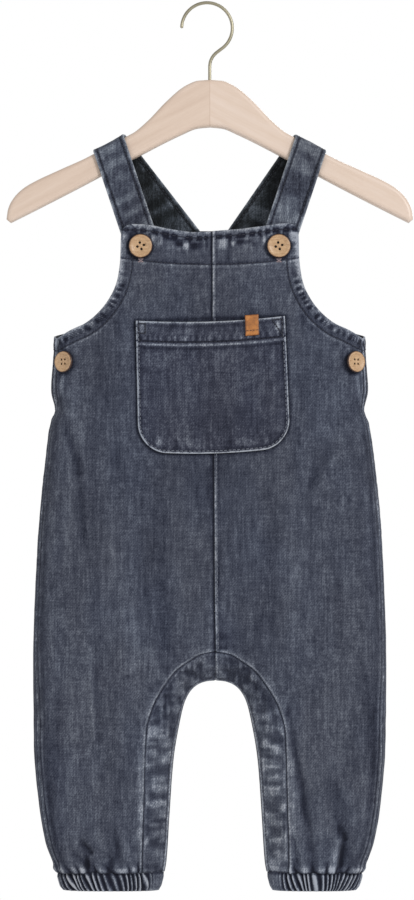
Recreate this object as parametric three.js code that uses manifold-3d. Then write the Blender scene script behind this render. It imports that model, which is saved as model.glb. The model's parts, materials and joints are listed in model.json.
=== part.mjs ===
// Baby dungarees in washed denim, hung by their shoulder straps on a wooden hanger with a wire hook.
// Millimetres. X runs across, Y towards the back and Z up. The origin is the top of the hook's inside, where
// a rail carries it, so every height is given as a drop below that point. "left" is the side at -X.
import * as THREE from "three";
import { mergeVertices } from "three/addons/utils/BufferGeometryUtils.js";
import Module from "manifold-3d";

const wasm = await Module();
wasm.setup();

// Cloth and seams
const denimThickness = 1.4;
const strapThickness = 2.2;
const seamGap = 0.3;
const halfGap = seamGap / 2;
const underGap = 0.7;

// Levels of the garment, as drops below the origin
const bibTopDrop = 169.2;
const bibCornerRise = 6.1;
const bibHalfWidth = 61.5;
const bibRiseFadesAt = 205;
const armholeEndDrop = 247;
const backTopDrop = 166.8;
const placketEndDrop = 299.5;
const bandTopDrop = 477.2;
const crotchDrop = 499.7;
const cuffTopDrop = 641;
const cuffBottomDrop = 654;

// Outline of the body and legs, and how deep the hollow tube is to the front and to the back
const bodyTable = [
  { drop: 150, half: 114.9, roll: 18, front: 9.9, back: 9.75 },
  { drop: 180, half: 114.9, roll: 18, front: 10, back: 9.9 },
  { drop: 247, half: 114.9, roll: 18, front: 16.0, back: 15.4 },
  { drop: 285, half: 117.1, roll: 18, front: 17.0, back: 16.4 },
  { drop: 299.5, half: 114.9, roll: 18, front: 17.2, back: 16.6 },
  { drop: 309, half: 117.6, roll: 18, front: 17.4, back: 16.8 },
  { drop: 337, half: 121.6, roll: 18, front: 17.8, back: 17.2 },
  { drop: 396, half: 127.1, roll: 18, front: 18.2, back: 17.8 },
  { drop: 485, half: 130.4, roll: 18, front: 17.8, back: 17.8 },
  { drop: 544, half: 130.1, roll: 17, front: 16.6, back: 16.6 },
  { drop: 588, half: 126.7, roll: 16, front: 15.6, back: 15.6 },
  { drop: 618, half: 121.6, roll: 15, front: 14.4, back: 14.4 },
  { drop: 641, half: 113.1, roll: 13, front: 12.0, back: 12.0 },
  { drop: 654, half: 109.4, roll: 12, front: 11.4, back: 11.4 },
];
const crown = 0.05;

// Free edges: the front and back armholes, and how far the side seam lies in from the outline
const frontArmhole = [
  { drop: 160, half: 61.0 },
  { drop: 166, half: 63.2 },
  { drop: 174, half: 65.1 },
  { drop: 190, half: 65.8 },
  { drop: 201, half: 67.3 },
  { drop: 209.6, half: 69.8 },
  { drop: 218.5, half: 74.3 },
  { drop: 227.4, half: 81.1 },
  { drop: 236.3, half: 91.8 },
  { drop: 240.7, half: 101.4 },
  { drop: 247, half: 112.5 },
];
const backArmhole = [
  { drop: 166, half: 47 },
  { drop: 184, half: 48.5 },
  { drop: 200, half: 51.8 },
  { drop: 212, half: 57 },
  { drop: 222, half: 66 },
  { drop: 231, half: 79 },
  { drop: 238, half: 94 },
  { drop: 243, half: 110 },
  { drop: 247, half: 134 },
];
const sideSeam = [
  { drop: 247, inset: 2.4 },
  { drop: 290, inset: 2.4 },
  { drop: 299.5, inset: 1.2 },
  { drop: 322, inset: 1.6 },
  { drop: 485, inset: 2.6 },
  { drop: 530, inset: 4.0 },
  { drop: 641, inset: 3.2 },
];
const centreSeam = [
  { drop: 150, x: 1.9 },
  { drop: 240, x: 1.9 },
  { drop: 336, x: 3.1 },
  { drop: 440, x: 3.7 },
  { drop: 477.2, x: 4.3 },
  { drop: 660, x: 4.3 },
];

// The arch between the legs, and the seam of the band sewn round it, by the drop below the top of each
const archTable = [
  { below: 0, half: 0 },
  { below: 2.5, half: 11.6 },
  { below: 8, half: 18.1 },
  { below: 16, half: 22.3 },
  { below: 30, half: 25.8 },
  { below: 60, half: 30.7 },
  { below: 100, half: 33.6 },
  { below: 133, half: 35.8 },
  { below: 154.3, half: 40.4 },
];
const bandTable = [
  { below: 0, half: 0 },
  { below: 1.5, half: 10 },
  { below: 6.7, half: 18.8 },
  { below: 12.6, half: 27.5 },
  { below: 24.4, half: 37 },
  { below: 40.6, half: 46.2 },
  { below: 59, half: 51 },
  { below: 111, half: 52.8 },
  { below: 163.8, half: 54.5 },
];
const archLift = 1.25;
const archReach = 30;
const archSamples = 32;
const archInset = { front: 0.6, back: 0.45 };

// The largest folds: soft troughs from one point to another, by drop and x
const folds = [
  { face: "front", x: 59, drop: 512, toX: 77, toDrop: 652, width: 7, depth: 2.4 },
  { face: "front", x: 105, drop: 606, toX: 96, toDrop: 652, width: 6, depth: 2.2 },
  { face: "front", x: -98, drop: 612, toX: -80, toDrop: 652, width: 7, depth: 2.2 },
  { face: "front", x: -56, drop: 590, toX: -55, toDrop: 652, width: 6, depth: 1.8 },
  { face: "front", x: -84, drop: 296, toX: -80, toDrop: 372, width: 8, depth: 1.4 },
  { face: "front", x: 114, drop: 296, toX: 80, toDrop: 312, width: 6, depth: 1.6 },
  { face: "back", x: -60, drop: 520, toX: -76, toDrop: 652, width: 7, depth: 2.2 },
  { face: "back", x: 100, drop: 600, toX: 88, toDrop: 652, width: 7, depth: 2.2 },
  { face: "back", x: -88, drop: 300, toX: -78, toDrop: 380, width: 8, depth: 1.4 },
  { face: "back", x: 66, drop: 560, toX: 62, toDrop: 652, width: 6, depth: 1.8 },
];

// Hanger and hook
const hangerHalfThickness = 6;
const hangerEdgeRound = 3;
const hangerRest = { out: 56.2, drop: 95.1 };
const hangerRestEnd = { out: 92, drop: 114.1 };
const hangerSlope = Math.atan2(hangerRestEnd.drop - hangerRest.drop, hangerRestEnd.out - hangerRest.out);
const hangerTop = [
  { out: 0, drop: 56 },
  { out: 9, drop: 56.7 },
  { out: 15, drop: 58.9 },
  { out: 21, drop: 62.4 },
  { out: 33, drop: 73 },
  { out: 45, drop: 85.6 },
  hangerRest,
  hangerRestEnd,
  { out: 109.4, drop: 121.9 },
  { out: 133, drop: 133.2 },
  { out: 140, drop: 138.2 },
  { out: 145.6, drop: 144.6 },
  { out: 149, drop: 152 },
  { out: 150, drop: 159 },
];
const hangerBottom = [
  { out: 0, drop: 90.7 },
  { out: 9, drop: 91.6 },
  { out: 20.7, drop: 96.3 },
  { out: 56.2, drop: 114.3 },
  { out: 97.5, drop: 136.2 },
  { out: 133, drop: 154.4 },
  { out: 147, drop: 161.4 },
];
const wireRadius = 1.2;
const hookLoopRadius = 18.7;
const hookLoopX = -2;
const hookStartAngle = 177;
const hookEndAngle = -53;
const hookArcStep = 18;
const hookBend = { reach: 5, outX: 0.5, sag: 0.9 };
const hookSteps = 44;
const stemDepth = 17;

// Straps
const strapWidth = 25;
const strapX = 73.2;
const strapFrontLean = THREE.MathUtils.degToRad(18.5);
const strapFrontLength = 92;
const strapBackEndDrop = 175;
const strapSwing = { left: -0.013, right: 0.05 };
const strapEdgeThin = 0.35;
const strapAcross = [-0.5, -0.42, 0, 0.42, 0.5];
const strapQuarters = [0.25, 0.5, 0.75, 1];

// Pocket and its leather tab
const pocket = { x: 1.9, drop: 280.6, width: 111.4, topWidth: 109.3, height: 95.5, corner: 20, tilt: 1.8 };
const pocketBow = { top: 2.4, bottom: 3.4 };
const pocketHem = { height: 17, raise: 0.5, step: 2.2 };
const pocketColumns = 9;
const pocketTurns = 5;
const label = { x: 30.9, width: 10.5, height: 15.1, above: 3, thickness: 1.1, fold: 0.8, thin: 0.4 };

// Buttons: four holes, the two at the sides sit where the cloth turns away
const buttonThickness = 2.6;
const buttonProfile = [
  [0, 0],
  [7.9, 0],
  [8.7, 0.7],
  [8.7, 1.9],
  [7.9, buttonThickness],
  [6.3, buttonThickness],
  [5.5, 2],
  [0, 2],
];
const buttonSides = 24;
const buttonHoleRadius = 0.9;
const buttonHoleSpread = 2.4;
const buttonHoleSides = 8;
const buttonStandoff = 0.4;
const bibButton = { x: 50.8, drop: 179.2 };
const sideButton = { x: 106.4, drop: 264.6 };

// Elastic cuffs
const gathersPerCuff = 28;
const gatherHeight = 1.5;
const cuffWall = 1.2;
const cuffFlatReach = { from: 5, to: 13 };
const cuffSquareness = 0.82;
const cuffRows = [
  { drop: cuffTopDrop + halfGap, swell: -0.5, wave: 0.5 },
  { drop: 644.2, swell: 0.2, wave: 1 },
  { drop: 650.6, swell: 0.2, wave: 1 },
  { drop: cuffBottomDrop, swell: -0.9, wave: 0.7 },
];

// Grid lines shared by the pieces that meet
const frontBibDrops = [bibTopDrop, 180, 195, 209.6, 221, 230, 236.3, 240.7, 244.4];
const backBibDrops = [backTopDrop, 183, 199, 212, 223, 231, 238, 243];
const sideDrops = [armholeEndDrop, 264, 284, 299.5, 309, 330, 362, 400, 440, bandTopDrop];
const bandSteps = 13;
const flatColumns = 7;
const flatShare = 0.8;
const rollColumns = { front: 5, back: 7 };
const bandColumns = 4;
const stand = { topDrop: 250, underBack: 4, reach: 24, thickness: 1.2, rows: 7, columns: 6 };

// A smooth curve through a table's rows that never swings past them.
function curveOf(rows, at, of) {
  const gaps = rows.slice(1).map((row, i) => row[at] - rows[i][at]);
  const slopes = gaps.map((gap, i) => (rows[i + 1][of] - rows[i][of]) / gap);
  const tangents = rows.map((row, i) => {
    if (i === 0) return slopes[0];
    if (i === rows.length - 1) return slopes[i - 1];
    const before = slopes[i - 1];
    const after = slopes[i];
    return before * after <= 0 ? 0 : (2 * before * after) / (before + after);
  });
  return (value) => {
    const last = rows.length - 1;
    const v = THREE.MathUtils.clamp(value, rows[0][at], rows[last][at]);
    let i = 0;
    while (i < last - 1 && v > rows[i + 1][at]) i += 1;
    const t = (v - rows[i][at]) / gaps[i];
    const s = 1 - t;
    return (
      rows[i][of] * (1 + 2 * t) * s * s +
      tangents[i] * gaps[i] * t * s * s +
      rows[i + 1][of] * (3 - 2 * t) * t * t -
      tangents[i + 1] * gaps[i] * t * t * s
    );
  };
}

const outlineHalf = curveOf(bodyTable, "drop", "half");
const rollRadius = curveOf(bodyTable, "drop", "roll");
const depthOf = { front: curveOf(bodyTable, "drop", "front"), back: curveOf(bodyTable, "drop", "back") };
const frontEdge = curveOf(frontArmhole, "drop", "half");
const backEdge = curveOf(backArmhole, "drop", "half");
const seamInset = curveOf(sideSeam, "drop", "inset");
const centreX = curveOf(centreSeam, "drop", "x");

// Arch and band curves start level at their tops, so they are read against the root of the drop below it.
function rootCurve(rows) {
  const rooted = rows.map((row) => ({ root: Math.sqrt(row.below), half: row.half }));
  const curve = curveOf(rooted, "root", "half");
  return (below) => curve(Math.sqrt(Math.max(below, 0)));
}
const archHalf = rootCurve(archTable);
const bandHalf = rootCurve(bandTable);

const archLine = [];
for (let i = 0; i <= archSamples; i += 1) {
  const below = archTable[archTable.length - 1].below * (i / archSamples) ** 2;
  archLine.push({ half: archHalf(below), drop: crotchDrop + below });
}

// How far a point of the front or back lies from the edge round the arch, up to the reach that matters.
function archDistance(x, drop) {
  const across = Math.abs(x - centreX(crotchDrop));
  if (drop < crotchDrop - archReach || across > archLine[archSamples].half + archReach) return archReach;
  let nearest = archReach;
  for (let i = 0; i < archSamples; i += 1) {
    const from = archLine[i];
    const run = { half: archLine[i + 1].half - from.half, drop: archLine[i + 1].drop - from.drop };
    const along = (across - from.half) * run.half + (drop - from.drop) * run.drop;
    const t = THREE.MathUtils.clamp(along / (run.half ** 2 + run.drop ** 2), 0, 1);
    const gap = Math.hypot(across - from.half - run.half * t, drop - from.drop - run.drop * t);
    nearest = Math.min(nearest, gap);
  }
  return nearest;
}

function foldSink(face, x, drop) {
  let sink = 0;
  for (const fold of folds.filter((f) => f.face === face)) {
    const runX = fold.toX - fold.x;
    const runDrop = fold.toDrop - fold.drop;
    const length = Math.hypot(runX, runDrop);
    const along = ((x - fold.x) * runX + (drop - fold.drop) * runDrop) / length ** 2;
    const aside = ((x - fold.x) * runDrop - (drop - fold.drop) * runX) / length;
    const begins = THREE.MathUtils.smoothstep(along, -0.1, 0.4);
    const ends = 1 - THREE.MathUtils.smoothstep(along, 1, 1.1);
    sink += fold.depth * begins * ends * Math.exp(-((aside / fold.width) ** 2));
  }
  return sink;
}

// The cloth's outer surface. Girth is measured across from x = 0 and on round the rolled side, so a girth
// past the outline lies on the other face.
function surfacePoint(side, face, girth, drop) {
  const roll = rollRadius(drop);
  const knee = outlineHalf(drop) - roll;
  const turn = Math.max(0, (girth - knee) / roll);
  if (turn > Math.PI / 2) {
    const other = face === "front" ? "back" : "front";
    return surfacePoint(side, other, knee + roll * (Math.PI - turn), drop);
  }
  const out = turn > 0 ? knee + roll * Math.sin(turn) : girth;
  const x = side * out;
  const crowned = depthOf[face](drop) * (1 + crown * (1 - (out / outlineHalf(drop)) ** 2));
  const sunk = (crowned - foldSink(face, x, drop)) * Math.cos(turn);
  const share = archDistance(x, drop) / archReach;
  const lens = 1 - (1 - share) ** 2;
  const depth = archLift + (sunk - archLift) * (turn > 0 ? 1 : lens);
  return new THREE.Vector3(x, face === "front" ? -depth : depth, -drop);
}

function surfaceNormal(side, face, girth, drop) {
  const step = 0.4;
  const at = (dGirth, dDrop) => surfacePoint(side, face, girth + dGirth, drop + dDrop);
  const across = at(step, 0).sub(at(-step, 0));
  const down = at(0, step).sub(at(0, -step));
  return across.cross(down).normalize().multiplyScalar(face === "front" ? -side : side);
}

// The girth of a point that lies out from x = 0 on the front or back.
function girthAt(out, drop) {
  const roll = rollRadius(drop);
  const knee = outlineHalf(drop) - roll;
  return out <= knee ? out : knee + roll * Math.asin(Math.min(1, (out - knee) / roll));
}

const frontSeamGirth = (drop) => girthAt(outlineHalf(drop) - seamInset(drop), drop);
function backSeamGirth(drop) {
  const outline = girthAt(outlineHalf(drop), drop);
  return 2 * outline - frontSeamGirth(drop);
}

// Triangles of a grid of rows, as index pairs into one list of points.
function gridFaces(faces, rows, columns, first, flip) {
  for (let r = 0; r < rows - 1; r += 1) {
    for (let c = 0; c < columns - 1; c += 1) {
      const a = first + r * columns + c;
      const b = a + 1;
      const d = a + columns;
      const e = d + 1;
      if (flip) faces.push(a, b, e, a, e, d);
      else faces.push(a, e, b, a, d, e);
    }
  }
}

function solidOf(points, faces) {
  const geometry = new THREE.BufferGeometry().setFromPoints(points);
  geometry.setIndex(faces);
  geometry.computeVertexNormals();
  return geometry;
}

function signedVolume(points, faces) {
  let volume = 0;
  for (let i = 0; i < faces.length; i += 3) {
    const [a, b, c] = [points[faces[i]], points[faces[i + 1]], points[faces[i + 2]]];
    volume += a.dot(b.clone().cross(c)) / 6;
  }
  return volume;
}

// A closed wall between two grids of points, outer and inner, with the same rows and columns.
function wallOf(outer, inner) {
  const rows = outer.length;
  const columns = outer[0].length;
  const points = [...outer.flat(), ...inner.flat()];
  const under = rows * columns;
  const faces = [];
  gridFaces(faces, rows, columns, 0, true);
  gridFaces(faces, rows, columns, under, false);
  const rim = [];
  for (let c = 0; c < columns - 1; c += 1) rim.push(c);
  for (let r = 0; r < rows - 1; r += 1) rim.push(r * columns + columns - 1);
  for (let c = columns - 1; c > 0; c -= 1) rim.push((rows - 1) * columns + c);
  for (let r = rows - 1; r > 0; r -= 1) rim.push(r * columns);
  rim.forEach((a, i) => {
    const b = rim[(i + 1) % rim.length];
    faces.push(a, under + a, b, b, under + a, under + b);
  });
  if (signedVolume(points, faces) < 0) faces.reverse();
  return solidOf(points, faces);
}

// A piece of cloth on the garment's surface. place gives the girth and drop of each grid point.
function clothPiece({ side, face, rows, columns, place, lift = 0, thickness = denimThickness }) {
  const outer = [];
  const inner = [];
  for (let r = 0; r < rows; r += 1) {
    outer.push([]);
    inner.push([]);
    for (let c = 0; c < columns; c += 1) {
      const { girth, drop } = place(r, c);
      const normal = surfaceNormal(side, face, girth, drop);
      const point = surfacePoint(side, face, girth, drop).addScaledVector(normal, lift);
      outer[r].push(point);
      inner[r].push(point.clone().addScaledVector(normal, -thickness));
    }
  }
  return wallOf(outer, inner);
}

// Front and back halves: from the bib to the cuff, with the centre seam and the band's seam on the inside.
const bandLength = cuffTopDrop - halfGap - bandTopDrop;
const bandDrop = (step) => bandTopDrop + bandLength * (step / bandSteps) ** 2;
const lowerDrops = [];
for (let step = 1; step <= bandSteps; step += 1) lowerDrops.push(bandDrop(step));

function innerGirth(side, drop) {
  return side * centreX(drop) + halfGap + bandHalf(drop - bandTopDrop);
}

// Columns lie close together towards the side, where the cloth rolls round.
function columnGirth(column, rolled, inside, outside, drop) {
  const knee = outlineHalf(drop) - rollRadius(drop);
  const bend = Math.min(knee, inside + flatShare * (outside - inside));
  if (column <= flatColumns) return inside + ((bend - inside) * column) / flatColumns;
  return bend + ((outside - bend) * (column - flatColumns)) / rolled;
}

function panel(side, face) {
  const bibDrops = face === "front" ? frontBibDrops : backBibDrops;
  const drops = [...bibDrops, ...sideDrops, ...lowerDrops];
  const place = (r, c) => {
    const drop = drops[r];
    const inside = innerGirth(side, drop);
    let outside;
    if (drop < armholeEndDrop) outside = face === "front" ? girthAt(frontEdge(drop), drop) : backEdge(drop);
    else outside = (face === "front" ? frontSeamGirth(drop) : backSeamGirth(drop)) - halfGap;
    const girth = columnGirth(c, rollColumns[face], inside, outside, drop);
    if (face === "back" || drop >= bibRiseFadesAt) return { girth, drop };
    const fade = (bibRiseFadesAt - drop) / (bibRiseFadesAt - bibTopDrop);
    return { girth, drop: drop - bibCornerRise * fade * (girth / bibHalfWidth) ** 2 };
  };
  return clothPiece({ side, face, rows: drops.length, columns: flatColumns + rollColumns[face] + 1, place });
}

// The band round the arch: from the edge of the arch to the seam with the half above it.
function inseamBand(side, face) {
  const edgeInset = archInset[face];
  const archLength = cuffTopDrop - halfGap - crotchDrop;
  const place = (r, c) => {
    const atTop = r === 0;
    const share = (r / bandSteps) ** 2;
    const edgeDrop = crotchDrop + archLength * share - (atTop ? edgeInset : 0);
    const seamDrop = bandTopDrop + bandLength * share + (atTop ? seamGap : 0);
    const edge = atTop ? halfGap : archHalf(edgeDrop - crotchDrop) + edgeInset;
    const seam = atTop ? halfGap : bandHalf(seamDrop - bandTopDrop) - halfGap;
    const t = c / (bandColumns - 1);
    const out = edge + (seam - edge) * t;
    return { girth: side * centreX(crotchDrop) + out, drop: edgeDrop + (seamDrop - edgeDrop) * t };
  };
  return clothPiece({ side, face, rows: bandSteps + 1, columns: bandColumns, place });
}

// The button stand sewn to the back's side edge: it lies under the front, down to where the side seam starts.
function sideStand(side) {
  const place = (r, c) => {
    const drop = stand.topDrop + ((placketEndDrop - stand.topDrop) * r) / (stand.rows - 1);
    const inward = ((stand.underBack + stand.reach) * c) / (stand.columns - 1);
    return { girth: frontSeamGirth(drop) + stand.underBack - inward, drop };
  };
  const lift = -denimThickness - underGap;
  return clothPiece({ side, face: "front", ...stand, place, lift });
}

// Cuff: a gathered tube of cloth over elastic, plain on the inside.
function cuff(side) {
  const samples = gathersPerCuff * 2;
  const ring = ({ drop, swell, wave }, inside) => {
    const edge = side * centreX(drop) + archHalf(drop - crotchDrop);
    const centre = (outlineHalf(drop) + edge) / 2;
    const halfWidth = (outlineHalf(drop) - edge) / 2;
    const points = [];
    for (let i = 0; i < samples; i += 1) {
      const angle = (2 * Math.PI * i) / samples;
      const across = Math.sign(Math.cos(angle)) * Math.abs(Math.cos(angle)) ** cuffSquareness;
      const out = Math.sign(Math.sin(angle)) * Math.abs(Math.sin(angle)) ** cuffSquareness;
      const fromEdge = halfWidth * (1 + across);
      const gather = THREE.MathUtils.smoothstep(fromEdge, cuffFlatReach.from, cuffFlatReach.to);
      const raise = (i % 2) * gatherHeight * wave * gather;
      const grow = swell + (inside ? -cuffWall : raise - gatherHeight / 2);
      const x = side * (centre + (halfWidth + grow) * across);
      points.push(new THREE.Vector3(x, -(depthOf.front(drop) + grow) * out, -drop));
    }
    return [...points, points[0]];
  };
  const outer = cuffRows.map((row) => ring(row, false));
  const inner = cuffRows.map((row) => ring(row, true));
  const loop = [...outer, ...inner.reverse(), outer[0]];
  const points = loop.flat();
  const faces = [];
  gridFaces(faces, loop.length, samples + 1, 0, true);
  if (signedVolume(points, faces) < 0) faces.reverse();
  return welded(solidOf(points, faces));
}

function welded(geometry) {
  geometry.deleteAttribute("normal");
  if (geometry.getAttribute("uv")) geometry.deleteAttribute("uv");
  const merged = mergeVertices(geometry, 1e-3);
  merged.computeVertexNormals();
  return merged;
}

// Straps. Each is one flat strip, folded over the hanger's sloping top. Below, a runs down the slope and b
// along the strap.
const strapBeta = hangerSlope - strapFrontLean;
const strapCornerRadius = hangerEdgeRound + seamGap + strapThickness / 2;
const strapFlat = 2 * (hangerHalfThickness - hangerEdgeRound);
const strapWrap = Math.PI * strapCornerRadius + strapFlat;
const strapHangerDrop = hangerRest.drop + (strapX - hangerRest.out) * Math.tan(hangerSlope);

// The strip's distance from the hanger's middle (y) and above its top edge (rise) at b, lifted off the wood.
function wrapAt(b, lift) {
  const quarter = (Math.PI / 2) * strapCornerRadius;
  const radius = hangerEdgeRound + seamGap + lift;
  const start = hangerHalfThickness - hangerEdgeRound;
  if (b <= 0) return { y: -start - radius, rise: b - hangerEdgeRound };
  if (b < quarter) {
    const angle = b / strapCornerRadius;
    return { y: -start - radius * Math.cos(angle), rise: radius * Math.sin(angle) - hangerEdgeRound };
  }
  if (b <= quarter + strapFlat) return { y: b - quarter - start, rise: radius - hangerEdgeRound };
  if (b < strapWrap) {
    const angle = (b - quarter - strapFlat) / strapCornerRadius;
    return { y: start + radius * Math.sin(angle), rise: radius * Math.cos(angle) - hangerEdgeRound };
  }
  return { y: start + radius, rise: strapWrap - b - hangerEdgeRound };
}

function strapPoint(side, b, w, lift) {
  const shift = (strapWrap / 2) * Math.tan(strapBeta);
  const swing = strapSwing[side < 0 ? "left" : "right"] * Math.max(0, b - strapWrap);
  const a = shift + swing - b * Math.tan(strapBeta) + w / Math.cos(strapBeta);
  const { y, rise } = wrapAt(b, lift);
  const x = strapX + a * Math.cos(hangerSlope) + rise * Math.sin(hangerSlope);
  const z = -strapHangerDrop - a * Math.sin(hangerSlope) + rise * Math.cos(hangerSlope);
  return new THREE.Vector3(side * x, y, z);
}

function strap(side) {
  const across = strapAcross.map((share) => share * strapWidth);
  const quarter = (Math.PI / 2) * strapCornerRadius;
  const swing = strapSwing[side < 0 ? "left" : "right"];
  const backRate = Math.cos(hangerSlope + strapBeta) / Math.cos(strapBeta) + swing * Math.sin(hangerSlope);
  const backSkew = -Math.sin(hangerSlope) / Math.cos(strapBeta) / backRate;
  const backStart = -strapPoint(side, strapWrap, 0, 0).z;
  const backLength = (strapBackEndDrop - backStart) / backRate;
  const stations = [{ b: -strapFrontLength, skew: Math.sin(strapBeta) }];
  const addStretch = (from, length, shares, endSkew = 0) => {
    for (const share of shares) stations.push({ b: from + length * share, skew: share === 1 ? endSkew : 0 });
  };
  addStretch(-strapFrontLength, strapFrontLength, strapQuarters);
  addStretch(0, quarter, strapQuarters);
  addStretch(quarter + strapFlat, quarter, [0, ...strapQuarters]);
  addStretch(strapWrap, backLength, strapQuarters, backSkew);
  const rowAt = ({ b, skew }, face) =>
    across.map((w, i) => {
      const thin = i === 0 || i === across.length - 1 ? strapEdgeThin : 0;
      return strapPoint(side, b + skew * w, w, face === "outer" ? strapThickness - thin : thin);
    });
  const outer = stations.map((station) => rowAt(station, "outer"));
  const inner = stations.map((station) => rowAt(station, "inner"));
  return wallOf(outer, inner);
}

// The pocket lies on both front halves, turned by a small tilt. It widens downwards, and its rows sag.
function pocketPlace(across, down) {
  const tilt = THREE.MathUtils.degToRad(pocket.tilt);
  const share = THREE.MathUtils.clamp(down / pocket.height, 0, 1);
  const wide = (across * THREE.MathUtils.lerp(pocket.topWidth, pocket.width, share)) / pocket.width;
  const bow = THREE.MathUtils.lerp(pocketBow.top, pocketBow.bottom, share);
  const low = down - pocket.height / 2 + bow * (1 - ((2 * across) / pocket.width) ** 2);
  const x = pocket.x + wide * Math.cos(tilt) + low * Math.sin(tilt);
  const drop = pocket.drop - wide * Math.sin(tilt) + low * Math.cos(tilt);
  return { x, drop };
}

function frontWall({ rows, columns, place, lift, thickness }) {
  const outer = [];
  const inner = [];
  for (let r = 0; r < rows; r += 1) {
    outer.push([]);
    inner.push([]);
    for (let c = 0; c < columns; c += 1) {
      const { x, drop, raise = 0 } = place(r, c);
      const side = x < 0 ? -1 : 1;
      const normal = surfaceNormal(side, "front", Math.abs(x), drop);
      const base = surfacePoint(side, "front", Math.abs(x), drop).addScaledVector(normal, lift);
      inner[r].push(base);
      outer[r].push(base.clone().addScaledVector(normal, thickness + raise));
    }
  }
  return wallOf(outer, inner);
}

function pocketPiece() {
  const half = pocket.width / 2;
  const straight = pocket.height - pocket.corner;
  const underHem = pocketHem.height + pocketHem.step;
  const downs = [0, pocketHem.height, underHem, straight * 0.5, straight * 0.75, straight];
  for (let i = 1; i <= pocketTurns; i += 1) {
    downs.push(straight + pocket.corner * Math.sin((Math.PI / 2) * (i / pocketTurns)));
  }
  const place = (r, c) => {
    const down = downs[r];
    const past = Math.max(0, down - straight) / pocket.corner;
    const rowHalf = half - pocket.corner * (1 - Math.sqrt(Math.max(0, 1 - past ** 2)));
    const across = rowHalf * ((2 * c) / (pocketColumns - 1) - 1);
    const raise = down <= pocketHem.height ? pocketHem.raise : 0;
    return { ...pocketPlace(across, down), raise };
  };
  const grid = { rows: downs.length, columns: pocketColumns, place };
  return frontWall({ ...grid, lift: seamGap, thickness: denimThickness });
}

// A leather tab, folded over the pocket's top edge and sewn down.
function labelPiece() {
  const top = -label.above;
  const downs = [top, top + label.fold, label.height / 2 + top, label.height + top];
  const place = (r, c) => {
    const across = label.x + label.width * (c / 2 - 0.5);
    return { ...pocketPlace(across, downs[r]), raise: r === 0 ? -label.thin : 0 };
  };
  const lift = seamGap + denimThickness + pocketHem.raise + seamGap;
  return frontWall({ rows: downs.length, columns: 3, place, lift, thickness: label.thickness });
}

// A turned button with a raised rim and four holes, made lying in the XY plane with its back at z = 0.
function buttonPiece(turn) {
  const profile = buttonProfile.map(([radius, height]) => new THREE.Vector2(radius, height));
  const body = new THREE.LatheGeometry(profile, buttonSides).rotateX(Math.PI / 2);
  let solid = manifoldOf(body);
  for (let i = 0; i < 4; i += 1) {
    const angle = turn + (Math.PI / 2) * i;
    const through = 3 * buttonThickness;
    const hole = new THREE.CylinderGeometry(buttonHoleRadius, buttonHoleRadius, through, buttonHoleSides);
    hole.rotateX(Math.PI / 2);
    hole.translate(buttonHoleSpread * Math.cos(angle), buttonHoleSpread * Math.sin(angle), 0);
    solid = solid.subtract(manifoldOf(hole));
  }
  return geometryOf(solid);
}

// Sets a button on the front with its back 0.4 mm off the cloth.
function placeButton(mesh, side, { x, drop }) {
  const girth = girthAt(x, drop);
  const normal = surfaceNormal(side, "front", girth, drop);
  const seat = surfacePoint(side, "front", girth, drop).addScaledVector(normal, buttonStandoff);
  mesh.position.copy(seat);
  mesh.quaternion.setFromUnitVectors(new THREE.Vector3(0, 0, 1), normal);
}

// Hanger: its outline in the XZ plane, extruded through its thickness, with a bore for the hook's stem.
function hangerOutline() {
  const topCurve = curveOf(hangerTop, "out", "drop");
  const bottomCurve = curveOf(hangerBottom, "out", "drop");
  const half = [];
  hangerTop.forEach((row, i) => {
    half.push(new THREE.Vector2(row.out, -row.drop));
    if (row === hangerRest || i === hangerTop.length - 1) return;
    const middle = (row.out + hangerTop[i + 1].out) / 2;
    half.push(new THREE.Vector2(middle, -topCurve(middle)));
  });
  for (let i = hangerBottom.length - 1; i > 0; i -= 1) {
    const middle = (hangerBottom[i].out + hangerBottom[i - 1].out) / 2;
    half.push(new THREE.Vector2(hangerBottom[i].out, -hangerBottom[i].drop));
    half.push(new THREE.Vector2(middle, -bottomCurve(middle)));
  }
  const right = [...half, new THREE.Vector2(0, -bottomCurve(0))];
  const left = half.slice(1).reverse().map((p) => new THREE.Vector2(-p.x, p.y));
  return [...right, ...left];
}

function manifoldOf(geometry) {
  const merged = welded(geometry.index ? geometry.toNonIndexed() : geometry);
  return new wasm.Manifold(
    new wasm.Mesh({
      numProp: 3,
      vertProperties: merged.getAttribute("position").array,
      triVerts: new Uint32Array(merged.index.array),
    }),
  );
}

function geometryOf(solid) {
  const mesh = solid.getMesh();
  const geometry = new THREE.BufferGeometry();
  geometry.setAttribute("position", new THREE.BufferAttribute(new Float32Array(mesh.vertProperties), 3));
  geometry.setIndex(new THREE.BufferAttribute(mesh.triVerts, 1));
  geometry.computeVertexNormals();
  return geometry;
}

function hangerPiece() {
  const flat = hangerHalfThickness - hangerEdgeRound;
  const body = new THREE.ExtrudeGeometry(new THREE.Shape(hangerOutline()), {
    depth: 2 * flat,
    bevelEnabled: true,
    bevelThickness: hangerEdgeRound,
    bevelSize: hangerEdgeRound,
    bevelOffset: -hangerEdgeRound,
    bevelSegments: 2,
  });
  body.translate(0, 0, -flat);
  body.rotateX(Math.PI / 2);
  const boreDepth = stemDepth + 1;
  const bore = new THREE.CylinderGeometry(wireRadius + seamGap, wireRadius + seamGap, 2 * boreDepth, 12);
  bore.rotateX(Math.PI / 2);
  bore.translate(0, 0, -hangerTop[0].drop);
  return geometryOf(manifoldOf(body).subtract(manifoldOf(bore)));
}

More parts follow.
